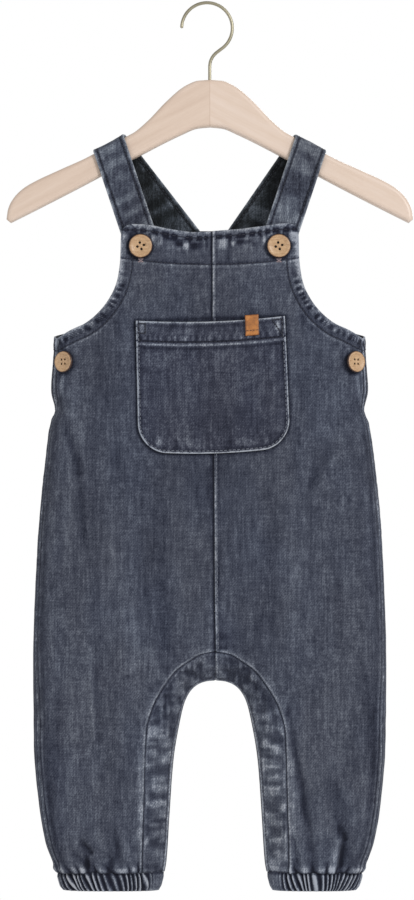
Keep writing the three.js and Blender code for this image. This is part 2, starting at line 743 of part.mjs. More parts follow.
// Hook: one length of wire, round the loop, down a slant and into the hanger.
function hookPiece() {
  const innerRadius = hookLoopRadius - wireRadius;
  const loopZ = -Math.sqrt(innerRadius ** 2 - hookLoopX ** 2);
  const points = [];
  const arcSteps = Math.round((hookStartAngle - hookEndAngle) / hookArcStep);
  for (let i = 0; i <= arcSteps; i += 1) {
    const angle = THREE.MathUtils.degToRad(hookStartAngle + ((hookEndAngle - hookStartAngle) * i) / arcSteps);
    const x = hookLoopX + hookLoopRadius * Math.cos(angle);
    points.push(new THREE.Vector3(x, 0, loopZ + hookLoopRadius * Math.sin(angle)));
  }
  const last = points[points.length - 1];
  const slant = THREE.MathUtils.degToRad(hookEndAngle);
  const slantLength = last.x / -Math.sin(slant);
  const bendZ = last.z - slantLength * Math.cos(slant);
  const slantEnd = last.clone().lerp(new THREE.Vector3(0, 0, bendZ), 1 - hookBend.reach / slantLength);
  points.push(last.clone().lerp(slantEnd, 0.5), slantEnd);
  points.push(new THREE.Vector3(hookBend.outX, 0, bendZ - hookBend.sag));
  const stemEnd = -hangerTop[0].drop - stemDepth;
  points.push(new THREE.Vector3(0, 0, bendZ - hookBend.reach), new THREE.Vector3(0, 0, -hangerTop[0].drop));
  points.push(new THREE.Vector3(0, 0, stemEnd));
  const section = new THREE.Shape().absarc(0, 0, wireRadius, 0, 2 * Math.PI);
  return welded(
    new THREE.ExtrudeGeometry(section, {
      steps: hookSteps,
      curveSegments: 4,
      extrudePath: new THREE.CatmullRomCurve3(points, false, "centripetal"),
    }),
  );
}

const denim = new THREE.MeshStandardMaterial({ color: 0x4b5060, roughness: 0.92, metalness: 0 });
const wood = new THREE.MeshStandardMaterial({ color: 0xdcc5b2, roughness: 0.55, metalness: 0 });
const wire = new THREE.MeshStandardMaterial({ color: 0xb3a688, roughness: 0.35, metalness: 1 });
const coconut = new THREE.MeshStandardMaterial({ color: 0xbf9768, roughness: 0.5, metalness: 0 });
const leather = new THREE.MeshStandardMaterial({ color: 0xc07a3a, roughness: 0.6, metalness: 0 });

const dungarees = new THREE.Group();
function add(name, geometry, material) {
  const mesh = new THREE.Mesh(geometry, material);
  mesh.name = name;
  dungarees.add(mesh);
  return mesh;
}

add("hanger", hangerPiece(), wood);
add("hook", hookPiece(), wire);
for (const [sideName, side] of [["left", -1], ["right", 1]]) {
  for (const face of ["front", "back"]) {
    add(`${face}_${sideName}`, panel(side, face), denim);
    add(`inseam_band_${face}_${sideName}`, inseamBand(side, face), denim);
  }
  add(`side_stand_${sideName}`, sideStand(side), denim);
  add(`cuff_${sideName}`, cuff(side), denim);
  add(`strap_${sideName}`, strap(side), denim);
  placeButton(add(`button_bib_${sideName}`, buttonPiece(0.25), coconut), side, bibButton);
  placeButton(add(`button_side_${sideName}`, buttonPiece(Math.PI / 4), coconut), side, sideButton);
}
add("pocket", pocketPiece(), denim);
add("pocket_label", labelPiece(), leather);

export default dungarees;
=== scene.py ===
# Baby dungarees in washed denim on a wooden hanger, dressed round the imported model.
# Sizes are in mm and heights are drops below the top of the hook's inside, until a mesh is made in metres.
# "left" is the side at -X, and -Y faces the camera.
import json
import math

import bpy
import numpy as np
from mathutils import Matrix, Vector

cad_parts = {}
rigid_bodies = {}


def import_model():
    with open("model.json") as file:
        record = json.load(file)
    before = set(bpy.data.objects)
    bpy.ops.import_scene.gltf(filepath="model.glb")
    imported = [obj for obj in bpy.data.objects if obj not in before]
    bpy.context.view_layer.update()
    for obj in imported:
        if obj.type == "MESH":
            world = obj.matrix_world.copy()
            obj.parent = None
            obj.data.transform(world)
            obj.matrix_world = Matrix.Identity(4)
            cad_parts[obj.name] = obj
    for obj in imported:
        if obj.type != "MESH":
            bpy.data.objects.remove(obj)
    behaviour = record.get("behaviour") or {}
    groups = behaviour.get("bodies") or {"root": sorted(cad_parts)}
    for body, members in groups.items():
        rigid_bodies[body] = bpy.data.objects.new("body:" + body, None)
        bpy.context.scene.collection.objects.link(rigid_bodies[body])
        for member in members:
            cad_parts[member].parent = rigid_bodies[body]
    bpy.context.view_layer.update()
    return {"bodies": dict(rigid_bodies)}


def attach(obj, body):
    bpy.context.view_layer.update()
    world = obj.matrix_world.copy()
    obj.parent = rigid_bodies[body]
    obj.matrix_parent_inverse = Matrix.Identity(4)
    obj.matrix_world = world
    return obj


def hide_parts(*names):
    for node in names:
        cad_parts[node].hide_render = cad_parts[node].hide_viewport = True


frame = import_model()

root = list(frame["bodies"])[0]
mm = 0.001
sideNames = {-1: "left", 1: "right"}
everyHalf = [(side, face) for side in (-1, 1) for face in ("front", "back")]
print("dungarees: frame loaded, body", root)


# Numbers, curves and soft noise

def smooth(low, high, value):
    t = np.clip((np.asarray(value, float) - low) / (high - low), 0, 1)
    return t * t * (3 - 2 * t)


def within(value, start, full, fading, gone):  # 1 between two limits, with a soft start and end
    return smooth(start, full, value) * (1 - smooth(fading, gone, value))


def ridge(distance, width):
    return np.exp(-((distance / width) ** 2))


def curveOf(x, y):  # a smooth curve through a table's columns that never swings past them
    x, y = np.array(x, float), np.array(y, float)
    gaps = np.diff(x)
    slopes = np.diff(y) / gaps
    product, total = slopes[:-1] * slopes[1:], slopes[:-1] + slopes[1:]
    between = np.where(product > 0, 2 * product / np.where(total == 0, 1, total), 0)
    tangents = np.concatenate([slopes[:1], between, slopes[-1:]])

    def read(value):
        v = np.clip(np.asarray(value, float), x[0], x[-1])
        i = np.clip(np.searchsorted(x, v) - 1, 0, len(x) - 2)
        t = (v - x[i]) / gaps[i]
        s = 1 - t
        rise = y[i] * (1 + 2 * t) * s * s + y[i + 1] * (3 - 2 * t) * t * t
        return rise + (tangents[i] * s - tangents[i + 1] * t) * gaps[i] * t * s

    return read


def softNoise(x, y, sizeX, sizeY, seed):  # smooth lumps from -1 to 1, sizeX by sizeY mm
    u, v = np.asarray(x, float) / sizeX, np.asarray(y, float) / sizeY
    iu, iv = np.floor(u).astype(np.int64), np.floor(v).astype(np.int64)
    fu, fv = u - iu, v - iv
    fu, fv = fu * fu * (3 - 2 * fu), fv * fv * (3 - 2 * fv)

    def corner(a, b):
        n = (a * 374761393 + b * 668265263 + seed * 974634777) & 0x7FFFFFFF
        n = ((n ^ (n >> 13)) * 1274126177) & 0x7FFFFFFF
        return ((n ^ (n >> 16)) & 0xFFFF) / 32767.5 - 1

    low = corner(iu, iv) * (1 - fu) + corner(iu + 1, iv) * fu
    high = corner(iu, iv + 1) * (1 - fu) + corner(iu + 1, iv + 1) * fu
    return low * (1 - fv) + high * fv


def wander(x, size, seed):  # soft lumps along a line alone
    return softNoise(x, 0 * np.asarray(x, float), size, 1, seed)


def steps(count):  # even shares up to 1, without the first
    return np.linspace(0, 1, count)[1:, None]


def nearLine(line, x, y):  # distance to a line of points, and how far along it the nearest point lies
    line = np.asarray(line, float)
    best, along, walked = np.full(np.shape(x), 1e9), np.zeros(np.shape(x)), 0.0
    for start, end in zip(line[:-1], line[1:]):
        run = end - start
        length = math.hypot(*run)
        if length < 1e-9:
            continue
        t = np.clip(((x - start[0]) * run[0] + (y - start[1]) * run[1]) / length ** 2, 0, 1)
        gap = np.hypot(x - start[0] - run[0] * t, y - start[1] - run[1] * t)
        closer = gap < best
        best, along = np.where(closer, gap, best), np.where(closer, walked + t * length, along)
        walked += length
    return best, along


def nearest(*signed):  # of several signed distances, the one nearest to zero
    stack = np.stack(np.broadcast_arrays(*signed))
    pick = np.abs(stack).argmin(axis=0)
    return np.take_along_axis(stack, pick[None], axis=0)[0]


# The garment's form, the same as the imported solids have

body = {
    "drop": [150, 180, 247, 285, 299.5, 309, 337, 396, 485, 544, 588, 618, 641, 654],
    "half": [114.9, 114.9, 114.9, 117.1, 114.9, 117.6, 121.6, 127.1, 130.4, 130.1, 126.7, 121.6, 113.1,
             109.4],
    "roll": [18, 18, 18, 18, 18, 18, 18, 18, 18, 17, 16, 15, 13, 12],
    "front": [9.9, 10, 16, 17, 17.2, 17.4, 17.8, 18.2, 17.8, 16.6, 15.6, 14.4, 12, 11.4],
    "back": [9.75, 9.9, 15.4, 16.4, 16.6, 16.8, 17.2, 17.8, 17.8, 16.6, 15.6, 14.4, 12, 11.4],
    "crown": 0.05,
}
levels = {
    "bibTop": 169.2, "bibRise": 6.9, "bibHalf": 61.5, "riseFades": 205, "backTop": 166.8, "armholeEnd": 247,
    "placketEnd": 299.5, "bandTop": 477.2, "crotch": 499.7, "cuffTop": 641, "cuffBottom": 654,
}
edges = {
    "frontDrop": [160, 169.2, 170, 171.2, 173.4, 177, 190, 201, 209.6, 218.5, 227.4, 236.3, 240.7, 247],
    "frontHalf": [58, 58.6, 61.2, 63, 64.5, 65.4, 65.8, 67.3, 69.8, 74.3, 81.1, 91.8, 101.4, 112.5],
    "backDrop": [166, 184, 200, 212, 222, 231, 238, 243, 247],
    "backHalf": [47, 48.5, 51.8, 57, 66, 79, 94, 110, 134],
    "seamDrop": [247, 290, 299.5, 322, 485, 530, 641],
    "seamInset": [2.4, 2.4, 1.2, 1.6, 2.6, 4, 3.2],
    "centreDrop": [150, 240, 336, 440, 477.2, 660],
    "centreX": [1.9, 1.9, 3.1, 3.7, 4.3, 4.3],
}
bibRises = {  # how far the top edge rises from its middle to its corners
    "girth": [0, 11.5, 22, 33, 43.5, 52.5, 61.5],
    -1: [0.7, 0.3, 1.4, 3.3, 5.4, 6.2, 6.2], 1: [0.9, 1.8, 2.6, 4.0, 5.4, 6.6, 6.9],
}
arch = {
    "below": [0, 2.5, 8, 16, 30, 60, 100, 133, 154.3],
    "half": [0, 11.6, 18.1, 22.3, 25.8, 30.7, 33.6, 35.8, 40.4],
    "bandBelow": [0, 1.5, 6.7, 12.6, 24.4, 40.6, 59, 111, 163.8],
    "bandHalf": [0, 10, 18.8, 27.5, 37, 46.2, 51, 52.8, 54.5],
    "lift": 1.25, "reach": 30, "inset": {"front": 0.9, "back": 0.3},
}
# Soft troughs from one point to another: x, drop, to x, to drop, width, depth
mainFolds = {
    "front": [(59, 512, 77, 652, 5.5, 0.95), (105, 606, 96, 652, 6, 2.2), (-98, 612, -80, 652, 7, 2.2),
        (-56, 590, -55, 652, 6, 1.8), (-84, 296, -80, 372, 8, 1.4), (114, 296, 84, 310, 6, 1.0)],
    "back": [(-60, 520, -76, 652, 7, 2.2), (100, 600, 88, 652, 7, 2.2), (-88, 300, -78, 380, 8, 1.4),
        (66, 560, 62, 652, 6, 1.8)],
}
smallFolds = {
    "front": [(-108, 300, -96, 345, 3.5, 0.9), (-99, 318, -92, 396, 3, 0.7), (-70, 318, -66, 352, 4, 0.5),
        (92, 318, 74, 356, 4, 0.6), (-104, 620, -78, 650, 2.6, 1.3), (-62, 612, -58, 646, 2.4, -0.5),
        (-74, 622, -70, 650, 2.4, 1.1), (-44, 612, -44, 650, 2.2, 0.7), (55, 508, 71, 600, 2.2, 0.65),
        (62, 540, 78, 644, 2.2, 0.5), (56, 530, 67, 640, 3.2, -0.35), (60.5, 520, 60.5, 640, 1.8, -0.3),
        (-88.7, 472, -85, 538, 1.5, -0.6), (-85.5, 478, -81, 542, 2.6, 0.4), (94, 603, 100, 616, 2.0, 1.3),
        (100, 611, 95, 643, 2.2, 2.0), (93, 612, 91, 643, 2.4, -0.9), (-51.5, 540, -51.5, 640, 1.7, -0.55),
        (-95, 616, -87, 626, 2.2, 1.5), (-90.5, 625, -89.5, 643, 1.6, 1.6),
        (-94.5, 628, -94, 643, 2.0, -0.9), (-71, 604, -66, 636, 2.6, 1.0), (88, 560, 96, 612, 5, 0.7),
        (60, 606, 68, 652, 2.6, 0.9), (-112, 500, -118, 600, 5, 0.6), (112, 470, 120, 560, 5, 0.6),
        (-40, 350, -34, 470, 9, 0.5), (44, 350, 40, 460, 9, 0.45)],
    "back": [(-104, 300, -92, 350, 3.5, 0.9), (104, 300, 90, 352, 3.5, 0.9), (-30, 420, -46, 520, 6, 0.9),
        (36, 416, 52, 520, 6, 0.8), (-94, 606, -80, 650, 2.6, 1.2), (60, 604, 74, 650, 2.6, 1.1),
        (104, 618, 96, 650, 2.4, 1.2), (-52, 614, -56, 650, 2.4, 0.9)],
}
# Paler and darker patches: x, drop, half width, half height, how pale
tonePatches = {
    "front": [(2, 342, 24, 28, -0.42), (14, 410, 12, 55, -0.25), (-79, 281, 5, 32, -0.42),
        (-118, 388, 7, 40, 0.34), (-79, 351, 6, 26, 0.3), (-99, 330, 6, 18, 0.32), (-104, 243, 10, 6, 0.35),
        (-76, 232, 8, 10, -0.35), (59.5, 191, 5, 10, 0.5), (76, 226, 10, 12, -0.3), (84, 316, 8, 26, 0.3),
        (118, 333, 5, 14, -0.4), (124, 595, 8, 46, -0.4), (114, 640, 6, 10, -0.35), (70, 560, 8, 30, 0.14),
        (-94, 625, 7, 8, 0.4), (-113, 621, 4, 12, -0.3), (-68, 584, 5, 20, -0.25), (-33, 510, 10, 14, -0.4),
        (9, 476, 7, 12, -0.35), (9.6, 473.6, 5, 1.3, -1.1), (9, 466, 5, 2.2, -0.5), (33, 477, 8, 8, -0.3),
        (-16, 481, 9, 12, -0.3), (-52, 543, 10, 60, 0.2), (46, 560, 6, 60, 0.25), (5, 195, 3, 26, 0.2),
        (98, 620, 5, 14, 0.3), (-40, 250, 16, 12, 0.15), (-112, 470, 6, 50, 0.15), (-60, 430, 5, 60, 0.14),
        (62, 420, 5, 70, 0.12)],
    "back": [(0, 300, 30, 40, -0.25), (-50, 360, 6, 50, 0.25), (60, 350, 7, 44, 0.25),
        (96, 420, 6, 50, -0.25), (-92, 440, 7, 46, -0.22), (-30, 400, 14, 30, 0.2), (34, 405, 14, 30, 0.2),
        (-70, 590, 8, 40, 0.25), (66, 580, 8, 44, 0.25)],
}
denimThickness = 1.4
seamGap = 0.3
halfGap = seamGap / 2
seamShut = -0.04

outlineHalf = curveOf(body["drop"], body["half"])
rollRadius = curveOf(body["drop"], body["roll"])
depthOf = {"front": curveOf(body["drop"], body["front"]), "back": curveOf(body["drop"], body["back"])}
frontEdge = curveOf(edges["frontDrop"], edges["frontHalf"])
backEdge = curveOf(edges["backDrop"], edges["backHalf"])
seamInset = curveOf(edges["seamDrop"], edges["seamInset"])
centreX = curveOf(edges["centreDrop"], edges["centreX"])
archCurve = curveOf(np.sqrt(arch["below"]), arch["half"])
bandCurve = curveOf(np.sqrt(arch["bandBelow"]), arch["bandHalf"])
archX = float(centreX(levels["crotch"]))
bibRise = {side: curveOf(bibRises["girth"], bibRises[side]) for side in (-1, 1)}


def archHalf(drop):
    return archCurve(np.sqrt(np.maximum(np.asarray(drop, float) - levels["crotch"], 0)))


def bandHalf(drop):
    return bandCurve(np.sqrt(np.maximum(np.asarray(drop, float) - levels["bandTop"], 0)))


archDrops = levels["crotch"] + arch["below"][-1] * np.linspace(0, 1, 49) ** 2
archLine = np.stack([archHalf(archDrops), archDrops], axis=1)


def foldSink(face, x, drop, folds):
    sink = np.zeros(np.shape(x))
    for x0, drop0, x1, drop1, width, depth in folds[face]:
        runX, runDrop = x1 - x0, drop1 - drop0
        length = math.hypot(runX, runDrop)
        along = ((x - x0) * runX + (drop - drop0) * runDrop) / length ** 2
        aside = ((x - x0) * runDrop - (drop - drop0) * runX) / length
        fade = smooth(-0.1, 0.4, along) * (1 - smooth(1, 1.1, along))
        sink += depth * fade * np.exp(-((aside / width) ** 2))
    return sink


def patchTones(face, x, drop):
    pale = np.zeros(np.shape(x))
    for x0, drop0, wide, tall, amount in tonePatches[face]:
        pale += amount * np.exp(-(((x - x0) / wide) ** 2) - ((drop - drop0) / tall) ** 2)
    return pale


# Girth is measured across from x = 0 and on round the rolled side, so past the outline it is behind
def clothPoint(side, face, girth, drop):
    girth, drop = np.broadcast_arrays(np.asarray(girth, float), np.asarray(drop, float))
    roll, half = rollRadius(drop), outlineHalf(drop)
    knee = half - roll
    turn = np.maximum(0, (girth - knee) / roll)
    out = np.where(turn > 0, knee + roll * np.sin(turn), girth)
    x = side * out
    onFront = (turn <= math.pi / 2) == (face == "front")
    crowned = np.where(onFront, depthOf["front"](drop), depthOf["back"](drop))
    crowned = crowned * (1 + body["crown"] * (1 - (out / half) ** 2))
    sink = np.where(onFront, foldSink("front", x, drop, mainFolds), foldSink("back", x, drop, mainFolds))
    sunk = (crowned - sink) * np.abs(np.cos(turn))
    reach = nearLine(archLine, np.abs(x - archX), drop)[0]
    share = np.minimum(1, reach / arch["reach"])
    lens = np.where(turn > 0, 1, 1 - (1 - share) ** 2)
    depth = arch["lift"] + (sunk - arch["lift"]) * lens
    depth = np.where(turn > 0, sunk, depth)
    return np.stack([x, np.where(onFront, -depth, depth), -drop], axis=-1)


def unit(v):
    return v / np.maximum(np.linalg.norm(v, axis=-1, keepdims=True), 1e-9)


def clothNormal(side, face, girth, drop):
    step = 0.4
    across = clothPoint(side, face, girth + step, drop) - clothPoint(side, face, girth - step, drop)
    down = clothPoint(side, face, girth, drop + step) - clothPoint(side, face, girth, drop - step)
    return unit(np.cross(across, down)) * (-side if face == "front" else side)


def girthAt(out, drop):
    roll = rollRadius(drop)
    knee = outlineHalf(drop) - roll
    bent = knee + roll * np.arcsin(np.clip((out - knee) / roll, 0, 1))
    return np.where(out <= knee, out, bent)


def frontSeamGirth(drop):
    return girthAt(outlineHalf(drop) - seamInset(drop), drop)


def backSeamGirth(drop):
    return 2 * girthAt(outlineHalf(drop), drop) - frontSeamGirth(drop)


seamGirth = {"front": frontSeamGirth, "back": backSeamGirth}


# The gathers that the elastic makes, the same waves in the cuff and in the cloth just above it

gathers = {
    "perCuff": 46, "puffs": 0.43, "wander": 0.36, "slant": 0.1, "flatReach": (5, 13), "squareness": 0.82,
    "reachUp": (7, 17), "halfWide": 34, "halfDeep": 11.5, "seed": {-1: 11, 1: 12},
}
ringAngles = np.linspace(0, 2 * math.pi, 721)
ringSteps = np.hypot(np.diff(gathers["halfWide"] * np.cos(ringAngles)),
                     np.diff(gathers["halfDeep"] * np.sin(ringAngles)))
ringWalk = np.concatenate([[0], np.cumsum(ringSteps)]) / ringSteps.sum()


# Ridges in the cuff, puffs of the cloth above it (0 in a crease), and how far up they reach
def gatherWave(side, angle, drop):
    walk = np.interp(np.mod(angle, 2 * math.pi), ringAngles, ringWalk) * gathers["perCuff"]
    seed, below = gathers["seed"][side], drop - levels["cuffTop"]
    lean = gathers["slant"] * (0.25 + wander(walk, 5, seed + 3))
    walk = walk + gathers["wander"] * wander(walk, 1.7, seed) - np.maximum(below, -6) * lean
    tall = 0.8 + 0.2 * wander(walk, 1.1, seed + 9)
    low, high = gathers["reachUp"]
    puffWalk = walk * gathers["puffs"] + 0.45 * wander(walk, 2.3, seed + 20)
    reach = low + (high - low) * (0.5 + 0.5 * wander(puffWalk, 0.9, seed + 14)) ** 1.5
    return np.abs(np.sin(math.pi * walk)) ** 2.4 * tall, np.abs(np.sin(math.pi * puffWalk)) ** 0.55, reach


def legAngle(side, x, drop, onFront):  # a point's place round its leg, 0 at the outside
    inner = side * archX + archHalf(drop)
    centre, half = (outlineHalf(drop) + inner) / 2, (outlineHalf(drop) - inner) / 2
    across = np.clip((side * x - centre) / half, -1, 1)
    angle = np.arccos(np.sign(across) * np.abs(across) ** (1 / gathers["squareness"]))
    return np.where(onFront, angle, 2 * math.pi - angle), (1 + across) * half


# Fine relief, wear and painted shade. Every relief gives a height, how pale or dark the cloth is made (pale
# where it is rubbed, painted shade where it is dark in creases and beside raised parts), and how far the next
# stitches are.

def puckers(distance, along, low, high, pitch, seed, sharp=2.2):
    t = np.clip((distance - low) / (high - low), 0, 1)
    lumps = softNoise(along, distance, pitch * 0.42, (high - low) * 0.75, seed)
    lumps = lumps + 0.45 * softNoise(along, distance, pitch * 0.22, (high - low) * 0.4, seed + 1)
    strength = 0.75 + 0.25 * wander(along, pitch * 3, seed + 2)
    return np.sin(math.pi * t) ** 0.6 * np.tanh(sharp * lumps) * strength


def washing(x, drop, seed):  # slow unevenness from hanging and washing
    slow = softNoise(x, drop, 19, 55, seed) + 0.6 * softNoise(x, drop, 8, 30, seed + 1)
    return 0.22 * slow + 0.10 * softNoise(x, drop, 4.2, 9, seed + 2)


def napOf(x, drop, size, seed, amount=0.45):  # how unevenly a pale line is rubbed
    return 1 + amount * softNoise(x, drop, size, size, seed)


# Lines along edges and seams: which one, how far off it, half width, amount, and 1 where nap breaks it
def lineSum(rows, at, nap=1):
    return sum(amount * ridge(at[place] - off, width) * (nap if broken else 1)
               for place, off, width, amount, broken in rows)


relief = {
    "armholeFacing": 9.2, "frontFacing": 23.6, "facingRise": 4.3, "backFacing": 25, "topStitch": 4.4,
    "sideStitch": 3, "seamStitch": 1.3, "allowance": 10.5, "facingRaise": 0.3, "puckerDepth": 0.5,
    "noStitch": 40, "foldsFrom": 2, "foldsFull": 14, "seed": {"front": 20, "back": 40}, "rightSeed": 7,
}
panelLines = [
    ("edge", 0, 1.7, 1.3, 1), ("edge", 2.6, 1.4, 0.3, 0), ("edge", 5, 1.6, -0.3, 0),
    ("facing", 1.4, 0.8, 0.75, 1), ("facing", -1.2, 1, -0.5, 1),
    ("side", 0.4, 1.1, 0.7, 1), ("side", 2.3, 0.7, -1.0, 0), ("side", 3.8, 0.9, 0.45, 0),
    ("side", 6.6, 2.2, -0.45, 0),
    ("band", 0.9, 0.8, 1.1, 1), ("band", 0, 0.45, -0.9, 0), ("band", 3, 2, 0.25, 0),
]
centreLines = {
    -1: {"raised": [("centre", 0, 1.2, -0.35, 0)], "paleness": [("centre", 0, 1.3, -1.9, 0)]},
    1: {"raised": [("centre", 0.9, 0.9, 0.35, 0)],
        "paleness": [("centre", 0.9, 0.8, 1.4, 1), ("centre", 3, 1.3, -0.4, 0)]},
}
pocketShape = {
    "x": 1.9, "drop": 280.6, "width": 111.4, "topWidth": 109.3, "height": 95.5, "corner": 20, "topBow": 2.4,
    "bow": 3.4, "tilt": math.radians(1.8), "hem": 17, "hemStitch": 14.6, "hemRaise": 0.5, "rows": 84,
    "lowRows": 22, "columns": 92, "near": 0.012, "pinch": 0.45, "edgeStitch": 1.9, "shade": 1.2,
    "shadeWidth": 1.5,
}
buttonPlaces = {"bib": (50.8, 179.2), "side": (106.0, 264.6)}
buttonShade = {"bib": (1, 9.2), "side": (0.78, 8.2)}  # how narrow the painted shadow ring round it is, and its radius


def topDrop(side, face, girth):
    if face == "back":
        return np.full(np.shape(girth), levels["backTop"], float)
    return levels["bibTop"] - bibRise[side](girth)


def facingBelow(side, face, girth):  # how far under the top edge the facing is stitched
    if face == "back":
        return relief["backFacing"]
    arched = relief["facingRise"] * (girth / levels["bibHalf"]) ** 2
    return relief["frontFacing"] + bibRise[side](girth) - arched


def pocketPlace(across, down):
    p = pocketShape
    share = np.clip(down / p["height"], 0, 1)
    wide = across * (p["topWidth"] + (p["width"] - p["topWidth"]) * share) / p["width"]
    bow = p["topBow"] + (p["bow"] - p["topBow"]) * share
    low = down - p["height"] / 2 + bow * (1 - (2 * across / p["width"]) ** 2)
    x = p["x"] + wide * math.cos(p["tilt"]) + low * math.sin(p["tilt"])
    return x, p["drop"] - wide * math.sin(p["tilt"]) + low * math.cos(p["tilt"])


def pocketOutline():
    p = pocketShape
    half, straight = p["width"] / 2, p["height"] - p["corner"]
    turn = np.linspace(0, math.pi / 2, 14)
    right = np.stack([half - p["corner"] * (1 - np.cos(turn)), straight + p["corner"] * np.sin(turn)], axis=1)
    down = np.stack([np.full(30, half), np.linspace(0, straight, 30)], axis=1)
    flat = half - p["corner"]
    low = np.stack([np.linspace(flat, -flat, 20), np.full(20, p["height"])], axis=1)
    left = right[::-1] * (-1, 1)
    return np.concatenate([down, right[1:], low[1:-1], left, (down * (-1, 1))[::-1][1:]])


pocketLine = pocketOutline()
pocketLoop = np.concatenate([pocketLine[::-1], pocketLine[:1], pocketLine[-1:]])
pocketRim = np.stack(pocketPlace(*pocketLoop.T), axis=1)
pocketTop = np.stack(pocketPlace(np.linspace(-1, 1, 21) * pocketShape["width"] / 2, np.zeros(21)), axis=1)

frontDrops = np.linspace(levels["bibTop"] + 2, levels["armholeEnd"], 60)
backDrops = np.linspace(levels["backTop"], levels["armholeEnd"], 60)
armholeLines = {
    "front": np.stack([girthAt(frontEdge(frontDrops), frontDrops), frontDrops], axis=1),
    "back": np.stack([backEdge(backDrops), backDrops], axis=1),
}
bandDrops = levels["bandTop"] + (levels["cuffTop"] - levels["bandTop"]) * np.linspace(0, 1, 50) ** 2
bandLine = np.stack([bandHalf(bandDrops), bandDrops], axis=1)


def panelPlaces(side, face, girth, drop):  # how far each point is from the edges and seams round it
    point = clothPoint(side, face, girth, drop)
    at = {"x": point[..., 0], "onFront": point[..., 1] < 0, "top": drop - topDrop(side, face, girth)}
    at["facingDepth"] = facingBelow(side, face, girth)
    at["facing"] = at["top"] - at["facingDepth"]
    at["arm"], at["alongArm"] = nearLine(armholeLines[face], girth, drop)
    at["centre"] = girth - side * centreX(drop)
    at["band"], at["alongBand"] = nearLine(bandLine, girth - side * archX, drop)
    at["side"] = np.where(drop < levels["armholeEnd"], relief["noStitch"], seamGirth[face](drop) - girth)
    at["edge"] = np.minimum(at["arm"], np.where(at["top"] < 60, at["top"], 99))
    return at


def bibRows(at, seed):  # the puckered rows under the bib's top edge: how raised and how pale
    x, top = at["x"], at["top"]
    onBib = smooth(-9, 3, at["arm"] - 3) * (top < 60)
    count = x / 7.4 + 0.5 * wander(x, 8, seed + 2)
    dashes = np.tanh(3.4 * (np.sin(2 * math.pi * count) - 0.3) + 1.4 * softNoise(x, top, 2.4, 3, seed + 3))
    streaks = np.tanh(3 * softNoise(x, top, 2.1, 9, seed + 17) + 0.3)
    checks = np.tanh(3 * softNoise(x, top, 5.6, 3.4, seed + 19))
    clear = smooth(1, 5, np.abs(at["centre"])) * (0.65 + 0.35 * wander(x, 14, seed + 4))
    firstRow = within(top, 2.6, 3.4, 6, 7) * clear * onBib
    nextRow = within(top, 5.4, 7, 10, 17) * clear * onBib
    raised = 0.8 * firstRow * dashes + 0.5 * nextRow * streaks
    return raised, firstRow * (1.5 * dashes - 0.75) + nextRow * (0.95 * streaks + 0.9 * checks)


def cuffPuffs(side, at, drop):  # the gathered cloth puffs out just above the elastic, with a painted highlight on the puffs and painted shade in the creases between them and along the seam
    angle, fromInner = legAngle(side, at["x"], drop, at["onFront"])
    wave, puffed, reach = gatherWave(side, angle, drop)
    up, free = levels["cuffTop"] - drop, smooth(*gathers["flatReach"], fromInner)
    pull = np.clip(1 - up / reach, 0, 1) ** 1.2 * free
    puff = ridge(up - 3.2, 2.2) * free
    paleness = 3.1 * pull * (puffed - 0.8) + 1.9 * puff * (puffed - 0.45)
    paleness = paleness - 1.5 * ridge(up, 0.8) * (1.1 - 0.5 * wave)
    return 1.7 * pull * (puffed - 0.7) + 1.3 * puff * puffed, paleness


# Painted shadow beside the pocket and round the buttons, pale on the side opening's corner
def besideParts(side, x, drop, nap):
    fromPocket = np.minimum(nearLine(pocketRim, x, drop)[0], nearLine(pocketTop, x, drop)[0])
    paleness = -pocketShape["shade"] * ridge(fromPocket, pocketShape["shadeWidth"])
    for kind, (out, down) in buttonPlaces.items():
        narrow, reach = buttonShade[kind]
        fromButton = np.hypot((side * x - out + 0.5 * side) / narrow, drop - down - 0.5)
        paleness = paleness - 1.2 * (1 - smooth(reach, reach + 1.7, fromButton))
    corner = ridge(side * x - 108.5 - 0.12 * (drop - 276), 1.4) * within(drop, 273, 276, 286, 293)
    return paleness + 1.1 * corner * nap


